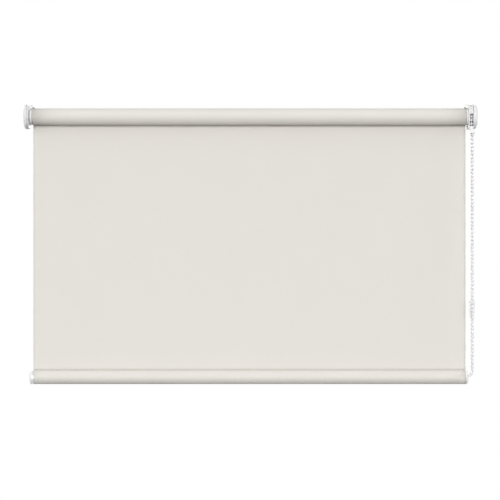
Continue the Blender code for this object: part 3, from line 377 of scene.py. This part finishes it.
def mesh_piece(name, points, quads, material, uv=None, sharp=40.0, merge=True):
    """A mesh from points in millimetres and quads of their numbers.

    uv is a pair in metres for each point. Faces that meet at more than sharp degrees keep an edge.
    """
    corners = quads.reshape(-1)
    mesh = bpy.data.meshes.new(name)
    mesh.vertices.add(len(points))
    mesh.vertices.foreach_set("co", place(points).ravel())
    mesh.loops.add(len(corners))
    mesh.loops.foreach_set("vertex_index", corners)
    mesh.polygons.add(len(quads))
    mesh.polygons.foreach_set("loop_start", np.arange(0, len(corners), 4))
    mesh.update(calc_edges=True)
    if uv is not None:
        layer = mesh.uv_layers.new(name="UVMap")
        layer.data.foreach_set("uv", uv[corners].ravel())
    if merge:
        shape = bmesh.new()
        shape.from_mesh(mesh)
        bmesh.ops.remove_doubles(shape, verts=shape.verts, dist=0.001 * MM)
        bmesh.ops.dissolve_degenerate(shape, edges=shape.edges, dist=0.0005 * MM)
        bmesh.ops.recalc_face_normals(shape, faces=shape.faces)
        shape.to_mesh(mesh)
        shape.free()
    mesh.shade_smooth()
    mesh.set_sharp_from_angle(angle=math.radians(sharp))
    mesh.materials.append(material)
    piece = bpy.data.objects.new(name, mesh)
    bpy.context.scene.collection.objects.link(piece)
    return piece


def skin(name, points, material, uv=None, sharp=40.0, merge=True):
    """A mesh piece from one grid of points, rows by columns by three."""
    points = np.asarray(points, float)
    index = np.arange(points.shape[0] * points.shape[1]).reshape(points.shape[:2])
    flat_uv = None if uv is None else np.asarray(uv, float).reshape(-1, 2)
    flat = points.reshape(-1, 3)
    return mesh_piece(name, flat, quads_of(index), material, flat_uv, sharp, merge)


def thickened(piece, thickness):
    """Gives a surface its wall, half to each side."""
    wall = piece.modifiers.new("wall", "SOLIDIFY")
    wall.thickness = thickness * MM
    wall.offset = 0.0
    return piece


def eased(piece, width):
    """Rounds the edges a little, as a mould does, and keeps flat faces flat in the shading."""
    bevel = piece.modifiers.new("eased edges", "BEVEL")
    bevel.width = width * MM
    bevel.segments = 2
    bevel.limit_method = "ANGLE"
    bevel.angle_limit = math.radians(38)
    normals = piece.modifiers.new("flat faces", "WEIGHTED_NORMAL")
    normals.keep_sharp = True
    return piece


print("grids can become pieces")

# %% [markdown]
# A finished piece takes the place of its solid: it rides on the same body and hides the solid.


# %% In place of a solid
def stand_in(piece, body, node):
    """Puts the piece on its body, in place of the solid of that name."""
    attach(piece, body)
    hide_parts(node)
    return piece


print("pieces can take the place of solids")

# %% [markdown]
# Turned pieces share one recipe: a profile of radius and place along X, carried round the axis.


# %% Turned pieces
def turned(name, profile, material, around=96, sharp=40.0):
    """Each profile point (r, x) goes round X: (x, r cos a, r sin a) for a full turn of a."""
    radius, x = np.asarray(profile, float).T
    a = np.linspace(0, 2 * math.pi, around + 1)
    grid = np.stack(
        [
            np.repeat(x[:, None], around + 1, axis=1),
            radius[:, None] * np.cos(a),
            radius[:, None] * np.sin(a),
        ],
        axis=-1,
    )
    return skin(name, grid, material, sharp=sharp)


print("pieces can be turned")

# %% [markdown]
# The brackets' covers are caps in the shape of a D: round toward the room, straight back to the
# wall. A cap is two surfaces, its outside and its inside, each one a family of D outlines that run
# along the side, then round the edge and close over the face. The rim and the two ends at the wall
# are stitched between them, which makes it one closed shell.

# %% Shells
def shell(name, outer, inner, material, sharp=40.0):
    """Two grids of the same size, stitched along the first row and both end columns."""
    rows, columns = outer.shape[:2]
    index = np.arange(2 * rows * columns).reshape(2, rows, columns)
    faces = [quads_of(index[0]), quads_of(index[1][:, ::-1])]
    faces.append(quads_of(index[::-1, 0]))
    faces.append(quads_of(index[:, :, 0]))
    faces.append(quads_of(index[::-1, :, -1]))
    points = np.stack([outer, inner]).reshape(-1, 3)
    return mesh_piece(name, points, np.concatenate(faces), material, sharp=sharp)


# %% Covers
COVER_RADIUS = 20.0
COVER_WALL = 1.4
COVER_CROWN = 0.3
COVER_BACK = WALL_Y - 0.3
RIM_EASE = 0.25


def d_path(inset, back, count=64, straight=12):
    """The D outline set in by inset: back to the round on top, round the front, back below."""
    reach = np.linspace(back, 0, straight)
    a = np.linspace(math.pi / 2, 3 * math.pi / 2, count)
    radius = COVER_RADIUS - inset
    y = np.concatenate([reach[:-1], radius * np.cos(a), reach[::-1][1:]])
    z = np.concatenate(
        [np.full(straight - 1, radius), radius * np.sin(a), np.full(straight - 1, -radius)]
    )
    return y, z


def cover_rows(rim_x, face_x, wall, edge):
    """Insets and x of the outlines: rim, side, a quarter ellipse and a slightly crowned face."""
    side = math.copysign(1.0, face_x - rim_x)
    deep, high = edge
    a = np.linspace(0, math.pi / 2, 14)
    share = np.linspace(0, 1, 7)[1:]
    ease = -RIM_EASE if wall else RIM_EASE
    inset = [wall + ease, wall, *(wall + (high - wall) * (1 - np.cos(a)))]
    inset += list(high + (COVER_RADIUS - high) * share)
    below = [*(wall + COVER_CROWN + (deep - wall) * (1 - np.sin(a)))]
    below += list(wall + COVER_CROWN * (1 - share) ** 2)
    x = [rim_x, rim_x + side * RIM_EASE, *(face_x - side * np.array(below))]
    return np.array(inset), np.array(x)


def cover(name, node, rim_x, face_x, edge):
    """The outside and the inside of a cap, stitched to a shell."""
    grids = []
    for wall in (0.0, COVER_WALL):
        grid = []
        for inset, x in zip(*cover_rows(rim_x, face_x, wall, edge)):
            y, z = d_path(inset, COVER_BACK)
            grid.append(np.stack([np.full_like(y, x), y, z], axis=-1))
        grids.append(np.array(grid))
    return stand_in(shell(name, *grids, BRACKET_WHITE, sharp=50.0), "brackets", node)


left_cover = cover("left_cover", "left_bracket_cover", -359.3, -364.2, (4.0, 6.5))
right_cover = cover("right_cover", "right_bracket_cover", 361.2, 367.9, (5.6, 7.0))
print("covers:", [len(p.data.polygons) for p in (left_cover, right_cover)])

# %% [markdown]
# The two brackets, the chain guard, the chain wheel and the joiner have cut and scooped shapes
# that no single grid gives. They are copies of their own solids, merged, with the sharp edges
# eased as a mould leaves them.


# %% Pieces eased from their solids
def from_solid(name, node, material, width):
    """A merged copy of a solid, with flat areas as single faces and eased edges."""
    mesh = nodes[node].data.copy()
    mesh.name = name
    shape = bmesh.new()
    shape.from_mesh(mesh)
    bmesh.ops.remove_doubles(shape, verts=shape.verts, dist=0.002 * MM)
    bmesh.ops.dissolve_limit(
        shape, angle_limit=math.radians(0.5), verts=shape.verts, edges=shape.edges
    )
    shape.to_mesh(mesh)
    shape.free()
    mesh.materials.clear()
    mesh.materials.append(material)
    mesh.shade_smooth()
    mesh.set_sharp_from_angle(angle=math.radians(35))
    piece = bpy.data.objects.new(name, mesh)
    bpy.context.scene.collection.objects.link(piece)
    return stand_in(eased(piece, width), nodes[node]["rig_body"], node)


# The left bracket takes the greyer white, which is painted shade for its recessed hood
left_bracket = from_solid("left_bracket_shell", "left_bracket", HOOD_PAINTED_SHADE, 0.3)
right_bracket = from_solid("right_bracket_shell", "right_bracket", BRACKET_WHITE, 0.3)
guard = from_solid("chain_guard_shell", "chain_guard", BRACKET_WHITE, 0.2)
wheel = from_solid("chain_wheel", "sprocket", BRACKET_WHITE, 0.15)
joiner_front = from_solid("joiner_front_shell", "joiner_front_half", BEAD_WHITE, 0.15)
joiner_back = from_solid("joiner_back_shell", "joiner_back_half", BEAD_WHITE, 0.15)
print("eased:", left_bracket.name, right_bracket.name, guard.name, wheel.name)

# %% [markdown]
# The plug at the left end shows as a white dome between the bracket and the roll. It is a turned
# piece: the part that goes into the tube, the rim, the dome, and the bore for the sprung pin. The
# hub at the right end has slots cut for the chain wheel's dogs, so it is eased from its solid.

# %% Plug and hub
DOME = [
    (4.6 + 7.8 * math.cos(a), -352.1 - 3.7 * math.sin(a))
    for a in np.linspace(0.0, math.pi / 2, 24)
]
# Radius and x of the plug's outline, from the middle of its end in the tube to the bore's floor
PLUG_PROFILE = [
    (0.0, -326.3),
    (6.6, -326.3),
    (7.4, -327.1),
    (7.4, -350.9),
    (11.9, -350.9),
    (12.4, -351.1),
    *DOME,
    (2.9, -355.8),
    (2.8, -355.6),
    (2.8, -353.8),
    (4.4, -353.8),
    (4.4, -329.3),
    (0.0, -329.3),
]
plug = turned("pin_plug", PLUG_PROFILE, CAP_WHITE, sharp=30.0)
stand_in(plug, "roller", "idler_plug")
hub = from_solid("clutch_hub", "drive_hub", CAP_WHITE, 0.2)
print("faces:", len(plug.data.polygons), "on the plug and", len(hub.data.polygons), "on the hub")

# %% [markdown]
# The fabric left on the tube is wound as a real spiral, so that its layers show at the ends. The
# radius falls by one layer a turn, from the place where the hanging fabric leaves the roll at the
# back, over the top and on to the tube.

# %% Wound fabric
CLOTH = 0.38
ROLL_RADIUS = 13.3
LAYER = 0.45
TURNS = 9.6
HALF_WIDTH = 350.0


def along_bar(name, columns, y, z, length, sharp=40.0):
    """The line (y, z) carried straight along X; length is how far along the line a point is."""
    x = np.linspace(-HALF_WIDTH, HALF_WIDTH, columns)
    grid = np.stack(np.broadcast_arrays(x[:, None], y[None], z[None]), axis=-1)
    uv = np.stack(np.meshgrid(x * MM, length * MM, indexing="ij"), axis=-1)
    return skin(name, grid, FABRIC, uv=uv, merge=False, sharp=sharp)


def wound_fabric():
    """r = R - layer * a / 2 pi for a from 0 to all the turns; along X it is straight."""
    a = np.linspace(0, 2 * math.pi * TURNS, int(TURNS * 72) + 1)
    radius = ROLL_RADIUS - LAYER * a / (2 * math.pi)
    length = np.concatenate([[0], np.cumsum(np.diff(a) * (radius[1:] + radius[:-1]) / 2)])
    print("wound on the tube:", round(length[-1]), "mm")
    return along_bar("wound_fabric", 15, radius * np.cos(a), radius * np.sin(a), length)


roll = stand_in(thickened(wound_fabric(), CLOTH), "roller", "fabric_roll")

# %% [markdown]
# The hanging fabric is cut straight and held flat by the bar's weight. It isn't a perfect plane:
# its cut edges curl back by a fraction of a millimetre, and it is a little uneven where it leaves
# the roll. It flattens toward its top.

# %% Hanging fabric
SHEET_CLOTH = 0.4
SHEET_TOP = -0.3
SHEET_BOTTOM = -409.9
CURL = 0.25
CURL_WIDTH = 8
UNEVEN = 0.10


def hanging_fabric():
    """A plane whose y has a curl near each side edge and a faint, slow unevenness."""
    x = np.linspace(-HALF_WIDTH, HALF_WIDTH, 141)
    z = np.linspace(SHEET_TOP, SHEET_BOTTOM, 82)
    across, down = np.meshgrid(x, z)
    edge = np.clip((np.abs(across) - (HALF_WIDTH - CURL_WIDTH)) / CURL_WIDTH, 0, 1)
    hang = (SHEET_TOP - down) / (SHEET_TOP - SHEET_BOTTOM)
    free = np.sin(math.pi * hang)
    curl = CURL * edge**2 * free
    uneven = UNEVEN * free * np.sin(across / 47.0 + 2.0 * hang) * np.cos(across / 131.0)
    grid = np.stack([across, SHEET_Y + curl + uneven, down], axis=-1)
    uv = np.stack([across, -down], axis=-1) * MM
    return skin("hanging_fabric", grid, FABRIC, uv=uv, merge=False)


sheet = stand_in(thickened(hanging_fabric(), SHEET_CLOTH), "brackets", "fabric_sheet")
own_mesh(sheet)
print("hanging:", SHEET_TOP - SHEET_BOTTOM, "mm")

# %% [markdown]
# At the bottom a second strip of the fabric goes round the bar. Its back layer stands up behind
# the hanging fabric and is welded to it, and its front edge is welded under the fabric's lower
# edge, where one faint line shows. The strip's section is one open line.

# %% Hem pocket
RAIL_Z = -421.7
RAIL_LOW = 10.8
RAIL_HIGH = 11.5
RAIL_HALF_DEPTH = 9.6
RAIL_TAPER = (0.25, 0.35)
LAYER_HALF = 0.2
SEAM_BEHIND = 0.42
SEAM_STANDS = (3.0, 1.2)
NECK_WIDTH = 0.10


def drop_section(t, inset=0.0):
    """(depth sin t (1 - taper cos^2 t), height cos t), with one taper below and one above."""
    rise = np.cos(t)
    taper = 1 - np.where(rise > 0, RAIL_TAPER[1], RAIL_TAPER[0]) * rise**2
    height = np.where(rise > 0, RAIL_HIGH - inset, RAIL_LOW - inset)
    return (RAIL_HALF_DEPTH - inset) * np.sin(t) * taper, height * rise


def pocket_line(count=96):
    """The layer behind the fabric, then a drop that is pinched to a neck at its top."""
    t = np.linspace(0.0, 2 * math.pi, count + 1)
    neck = np.exp(-((np.minimum(t, 2 * math.pi - t) / NECK_WIDTH) ** 2))
    depth, height = drop_section(t, LAYER_HALF)
    lean = np.where(t < math.pi, SEAM_BEHIND, 0.0)
    y = SHEET_Y + depth * (1 - neck) + lean * neck
    top = RAIL_HIGH + np.array(SEAM_STANDS)
    return (
        np.concatenate([np.full(2, SHEET_Y + SEAM_BEHIND), y]),
        RAIL_Z + np.concatenate([top, height]),
    )


def hem_pocket():
    """The pocket's line carried straight along X."""
    y, z = pocket_line()
    length = np.concatenate([[0], np.cumsum(np.hypot(np.diff(y), np.diff(z)))])
    return along_bar("hem_loop", 57, y, z, length, sharp=80.0)


hem = stand_in(thickened(hem_pocket(), CLOTH), "bottom_rail", "hem_pocket")
print("pocket:", len(hem.data.polygons), "faces")

# %% [markdown]
# The bar's ends are closed by domed caps. A cap's section stays the drop of the rail and shrinks
# along a superellipse, flatter than a sphere, to a point. Behind the head is the tongue that goes
# into the bar.


# %% Rail caps
TONGUE_LENGTH = 14.0
TONGUE_INSET = 2.2
CAP_RIM = 0.8
CAP_RIM_EASE = 0.15
CAP_DOME = 3.9
DOME_POWER = 2.3


def rail_cap(name, node, face_x, side):
    """Rows of drops at x. The head's shrink falls as cos^(2/p) while x grows as sin^(2/p)."""
    t = np.linspace(0, 2 * math.pi, 73)
    # Each row: how far out from the face, how far in from the rail's section, and its share
    rows = [(-TONGUE_LENGTH, TONGUE_INSET, share) for share in (0.0, 1.0)]
    rows += [(0.0, TONGUE_INSET, 1.0), (0.0, CAP_RIM_EASE, 1.0)]
    rows += [(CAP_RIM_EASE, 0.0, 1.0), (CAP_RIM, 0.0, 1.0)]
    for a in np.linspace(0, math.pi / 2, 28)[1:]:
        shrink = max(math.cos(a), 0.0) ** (2 / DOME_POWER)
        rows.append((CAP_RIM + CAP_DOME * math.sin(a) ** (2 / DOME_POWER), 0.0, shrink))
    grid = []
    for reach, inset, shrink in rows:
        depth, height = drop_section(t, inset)
        x = np.full_like(t, face_x + side * reach)
        grid.append(np.stack([x, SHEET_Y + depth * shrink, RAIL_Z + height * shrink], axis=-1))
    return stand_in(skin(name, np.array(grid), CAP_WHITE, sharp=50.0), "bottom_rail", node)


left_cap = rail_cap("left_cap", "left_rail_cap", -351.8, -1)
right_cap = rail_cap("right_cap", "right_rail_cap", 350.3, 1)
print("caps:", left_cap.name, right_cap.name)

# %% [markdown]
# The chain is a loop of plastic balls on a cord, 4.5 mm each and 6 mm apart, because the wheel has
# ten pockets a turn. The part over the wheel lies on the pitch circle. The free part leaves the
# guard, hangs straight down and turns at the bottom, a little askew. Its line is a smooth curve
# through a few listed points, the same as in the solid.

# %% The chain's line
WHEEL_X = 357.65
BEAD = 4.5
BEAD_PITCH = 6.0
POCKETS = 10
PITCH_RADIUS = POCKETS * BEAD_PITCH / (2 * math.pi)
STRAND_Y = 9.55
FRONT = [
    (0.0, -3.3),
    (0.2, -10.0),
    (0.6, -16.0),
    (1.0, -20.5),
    (1.8, -25.0),
    (2.35, -29.0),
    (2.45, -34.0),
    (2.45, -60.0),
    (2.45, -150.0),
    (2.45, -250.0),
    (2.45, -350.0),
    (2.45, -395.0),
]
TURN = [
    (2.45, -9.5, -404.5),
    (2.2, -8.9, -409.8),
    (1.1, -6.6, -414.9),
    (-1.1, -3.5, -417.6),
    (-2.4, 0.0, -418.2),
]
ROUTE = (
    [(x, -STRAND_Y, z) for x, z in FRONT]
    + TURN
    + [(x, -y, z) for x, y, z in TURN[-2::-1]]
    + [(x, STRAND_Y, z) for x, z in FRONT[::-1]]
)


def smooth_line(route, step):
    """Cubic spans through the points, with slopes from the neighbours weighted by distance."""
    route = np.asarray(route, float)
    along = np.concatenate([[0], np.cumsum(np.linalg.norm(np.diff(route, axis=0), axis=1))])
    before = np.maximum(np.arange(len(route)) - 1, 0)
    after = np.minimum(np.arange(len(route)) + 1, len(route) - 1)
    slopes = (route[after] - route[before]) / (along[after] - along[before])[:, None]
    at = np.linspace(0, along[-1], int(along[-1] / step) + 1)
    i = np.clip(np.searchsorted(along, at, side="right") - 1, 0, len(route) - 2)
    span = (along[i + 1] - along[i])[:, None]
    t = ((at - along[i]) / span[:, 0])[:, None]
    return (
        route[i] * (2 * t**3 - 3 * t**2 + 1)
        + slopes[i] * span * (t**3 - 2 * t**2 + t)
        + route[i + 1] * (3 * t**2 - 2 * t**3)
        + slopes[i + 1] * span * (t**3 - t**2)
    )


def spaced(line, count, ends=False):
    """Points at even distances along a line; ends keeps the first and the last."""
    along = np.concatenate([[0], np.cumsum(np.linalg.norm(np.diff(line, axis=0), axis=1))])
    at = np.linspace(0, along[-1], count)
    if not ends:
        at = (np.arange(count) + 0.5) * along[-1] / count
    return np.stack([np.interp(at, along, line[:, k]) for k in range(3)], axis=-1)


free_line = smooth_line(ROUTE, 1.0) + np.array([WHEEL_X, 0, 0])
free_length = np.linalg.norm(np.diff(free_line, axis=0), axis=1).sum()
print("free chain:", round(free_length, 1), "mm")

# %% [markdown]
# One small ball is worked out once, and its copies are placed along the line by adding two arrays.
# The cord between the balls is a thin tube along the same line.


# %% Beads on a cord
def ball_grid(rows=9, columns=13):
    """A sphere's grid: r times (cos v cos u, cos v sin u, sin v)."""
    v = np.linspace(-math.pi / 2, math.pi / 2, rows)
    u = np.linspace(0, 2 * math.pi, columns)
    radius = BEAD / 2
    return np.stack(
        [
            radius * np.cos(v)[:, None] * np.cos(u),
            radius * np.cos(v)[:, None] * np.sin(u),
            radius * np.sin(v)[:, None] * np.ones_like(u),
        ],
        axis=-1,
    )


CORD_RADIUS = 0.65
ASLANT = (0.94, 0.31, 0.13)  # a direction that no line here takes


def tube_grid(line, radius, around=7):
    """A tube: each point of the line plus radius times (side cos t + up sin t)."""
    along = np.gradient(line, axis=0)
    along /= np.linalg.norm(along, axis=1)[:, None]
    side = np.cross(along, ASLANT)
    side /= np.linalg.norm(side, axis=1)[:, None]
    up = np.cross(along, side)
    t = np.linspace(0, 2 * math.pi, around)[None, :, None]
    ring = line[:, None] + radius * (side[:, None] * np.cos(t) + up[:, None] * np.sin(t))
    first = np.repeat(line[:1][:, None], around, axis=1)
    last = np.repeat(line[-1:][:, None], around, axis=1)
    return np.concatenate([first, ring, last])


def chain_piece(name, centres, line):
    """All the balls at their centres and the cord, joined as one piece."""
    first = skin("ball", ball_grid() + centres[0], BEAD_WHITE, sharp=180.0)
    cord = skin("cord", tube_grid(line, CORD_RADIUS), BEAD_WHITE, sharp=180.0)
    ball = first.data
    count = len(ball.vertices)
    base = np.zeros(count * 3)
    ball.vertices.foreach_get("co", base)
    base = base.reshape(-1, 3)
    shift = (centres - centres[0]) * MM
    points = (base[None] + shift[:, None]).reshape(-1, 3)
    sizes = np.zeros(len(ball.polygons), int)
    ball.polygons.foreach_get("loop_total", sizes)
    corners = np.zeros(sizes.sum(), int)
    ball.loops.foreach_get("vertex_index", corners)
    copies = np.arange(len(centres))[:, None]
    all_corners = (corners[None] + copies * count).ravel()
    starts = np.concatenate([[0], np.cumsum(np.tile(sizes, len(centres)))])[:-1]
    mesh = bpy.data.meshes.new(name)
    mesh.vertices.add(len(points))
    mesh.vertices.foreach_set("co", points.ravel())
    mesh.loops.add(len(all_corners))
    mesh.loops.foreach_set("vertex_index", all_corners)
    mesh.polygons.add(len(starts))
    mesh.polygons.foreach_set("loop_start", starts)
    mesh.update(calc_edges=True)
    shape = bmesh.new()
    shape.from_mesh(mesh)
    shape.from_mesh(cord.data)
    shape.to_mesh(mesh)
    shape.free()
    for spare in (first, cord):
        bpy.data.objects.remove(spare, do_unlink=True)
    mesh.shade_smooth()
    mesh.materials.append(BEAD_WHITE)
    piece = bpy.data.objects.new(name, mesh)
    bpy.context.scene.collection.objects.link(piece)
    return piece


# The arc over the wheel holds a ball in each of six pockets. The free balls fill the rest of the
# loop, from the wheel's front, down and up to its back.
a = np.radians(np.linspace(0, 180, 61))
wrap_arc = np.stack([a * 0 + WHEEL_X, PITCH_RADIUS * np.cos(a), PITCH_RADIUS * np.sin(a)], axis=-1)
tail_front = np.array([[WHEEL_X, -PITCH_RADIUS, 0.0]])
tail_back = np.array([[WHEEL_X, PITCH_RADIUS, 0.0]])
hanging_line = np.concatenate([tail_front, free_line, tail_back])
pitches = round(np.linalg.norm(np.diff(hanging_line, axis=0), axis=1).sum() / BEAD_PITCH)
hanging_beads = spaced(hanging_line, pitches + 1, ends=True)[1:-1]
wheel_beads = spaced(wrap_arc, POCKETS // 2 + 1, ends=True)
chain = chain_piece("ball_chain", hanging_beads, free_line[::4])
wrap = chain_piece("chain_on_wheel", wheel_beads, wrap_arc[::3])
stand_in(chain, "brackets", "bead_chain")
stand_in(wrap, "brackets", "chain_wrap")
print("balls:", len(hanging_beads), "free and", len(wheel_beads), "on the wheel")

# %% [markdown]
# What hangs or lies: the free chain with the joiner on it, the hanging fabric, the pocket's
# strip and the wound fabric.

# %% What hangs
print("declared:", chain.name, sheet.name, hem.name, roll.name)

# %% [markdown]
# The pieces inside keep their solids and get their own finishes: aluminium for the tube and the
# bar, steel for the pin, the clutch's springs, the clip and the screw, and white plastic for the
# core.

# %% Inner pieces
INNER = {
    "roller_tube": ALUMINIUM,
    "weight_bar": ALUMINIUM,
    "idler_pin": STEEL,
    "core_screw": STEEL,
    "core_clip": STEEL,
    "clutch_spring_inner": STEEL,
    "clutch_spring_outer": STEEL,
    "control_core": CAP_WHITE,
    "fabric_tape": TAPE,
}
for node, material in INNER.items():
    nodes[node].data.materials.clear()
    nodes[node].data.materials.append(material)
print("inner pieces:", len(INNER))

# %% [markdown]
# The spring behind the pin shortens as the pin goes in. It is a new piece: a wire along a helix,
# with the turns at each end closed up against each other.

# %% Pin spring
SPRING_RADIUS = 3.0
SPRING_WIRE = 0.35
SPRING_TURNS = 8
END_CLOSING = 0.55


def pin_spring():
    """(x, r cos a, r sin a), where x starts and ends slowly, as u - c sin(2 pi u) / 2 pi does."""
    start, end = [float(corner[0]) / MM - MIDDLE[0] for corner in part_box("idler_spring")]
    turn = np.linspace(0, 1, SPRING_TURNS * 24 + 1)
    share = turn - END_CLOSING * np.sin(2 * math.pi * turn) / (2 * math.pi)
    a = 2 * math.pi * SPRING_TURNS * turn
    x = start + SPRING_WIRE + (end - start - 2 * SPRING_WIRE) * share
    line = np.stack([x, SPRING_RADIUS * np.cos(a), SPRING_RADIUS * np.sin(a)], axis=-1)
    return skin("pin_spring", tube_grid(line, SPRING_WIRE, 10), STEEL, sharp=180.0), start, end


spring, spring_start, spring_end = pin_spring()
stand_in(spring, "roller", "idler_spring")
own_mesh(spring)
print("spring:", round(spring_end - spring_start, 1), "mm long")

# %% [markdown]
# The light is that of a studio: one broad lamp from the front, a little above the camera, which
# shades the underside of the roll and of the rail, a wide one on each side for the covers, one at
# the back, and a white surround. The surround and the floor are white to the camera and to
# reflections, and dimmer as a light, most of all from below.

# %% Light and floor
SURROUND_LOW = 0.105
SURROUND_HIGH = 0.515
# Degrees round to the right from the camera, degrees above level, degrees wide, and strength
LAMPS = {
    "front_lamp": (0, 9, 18, 1.68),
    "left_lamp": (-75, 5, 40, 0.8),
    "right_lamp": (75, 5, 40, 0.8),
    "back_lamp": (180, 12, 40, 1.5),
}
FLOOR_X = (-2.2, 2.9)
FLOOR_Y = (-2.6, 2.5)
FLOOR_Z = -1.1
FLOOR_PALE = 0.89
FLOOR_DIM = 0.25
FLOOR_GLOW = 0.2


def looked_at(start):
    """1 for a ray from the camera, in a reflection or through something, and 0 for light."""
    seen = start.node("ShaderNodeLightPath", output="Is Camera Ray")
    path = seen.socket.node
    glossy = Wire(start.tree, path.outputs["Is Glossy Ray"])
    through = Wire(start.tree, path.outputs["Is Transmission Ray"])
    return (seen + glossy + through).between(0.0, 1.0)


def make_surround():
    """White where it is looked at. As a light it falls from SURROUND_HIGH to SURROUND_LOW."""
    world = bpy.data.worlds.new("studio")
    world.use_nodes = True
    tree = world.node_tree
    tree.nodes.clear()
    start = Wire(tree)
    height = coordinate(start, "Generated").part(2).between(-0.3, 0.3)
    glow = height.tint((SURROUND_LOW,) * 3, (SURROUND_HIGH,) * 3)
    white = start.node("ShaderNodeBackground", {}, {"Color": (1, 1, 1, 1), "Strength": 1.0})
    dim = start.node("ShaderNodeBackground", {}, {"Color": glow, "Strength": 1.0})
    mixed = start.node("ShaderNodeMixShader", {}, {0: looked_at(start), 1: dim, 2: white})
    out = tree.nodes.new("ShaderNodeOutputWorld")
    tree.links.new(mixed.socket, out.inputs["Surface"])
    bpy.context.scene.world = world


def make_lamp(name, around, height, width, strength):
    """A sun with a wide disc."""
    lamp = bpy.data.lights.new(name, "SUN")
    lamp.energy = strength
    lamp.angle = math.radians(width)
    thing = bpy.data.objects.new(name, lamp)
    thing.rotation_euler = (math.radians(90 - height), 0, math.radians(around))
    bpy.context.scene.collection.objects.link(thing)


def make_floor():
    """A plain floor, well under the blind: pale where it is looked at, darker as a light."""
    turns = ((0, 0), (1, 0), (1, 1), (0, 1))
    corners = [(FLOOR_X[i], FLOOR_Y[j], FLOOR_Z) for i, j in turns]
    mesh = bpy.data.meshes.new("floor")
    mesh.from_pydata(corners, [], [(0, 1, 2, 3)])
    material, shader, start = finish("floor", 0.9, Emission_Strength=1.0)
    cloud = coordinate(start).noise(1.5) * 0.03 + FLOOR_PALE
    pale = looked_at(start) * (1 - FLOOR_DIM) + FLOOR_DIM
    feed(shader, "Base Color", (cloud * pale).tint((0, 0, 0), (1, 1, 1)))
    feed(shader, "Emission Color", (looked_at(start) * FLOOR_GLOW).tint((0, 0, 0), (1, 1, 1)))
    mesh.materials.append(material)
    floor = bpy.data.objects.new("floor", mesh)
    bpy.context.scene.collection.objects.link(floor)
    floor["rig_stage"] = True


make_surround()
for lamp, facts in LAMPS.items():
    make_lamp(lamp, *facts)
make_floor()
print("surround", SURROUND_LOW, "to", SURROUND_HIGH, "and", len(LAMPS), "lamps")

# %% [markdown]
# Last, how far each corner of the dressed model's box lies from the box of the solids is printed,
# in millimetres.

# %% Sizes and the end
low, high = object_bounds()
for side, new, old in (("low", low, cad_box[0]), ("high", high, cad_box[1])):
    print(side, "corner moved by, mm:", [round((a - b) / MM, 2) for a, b in zip(new, old)])
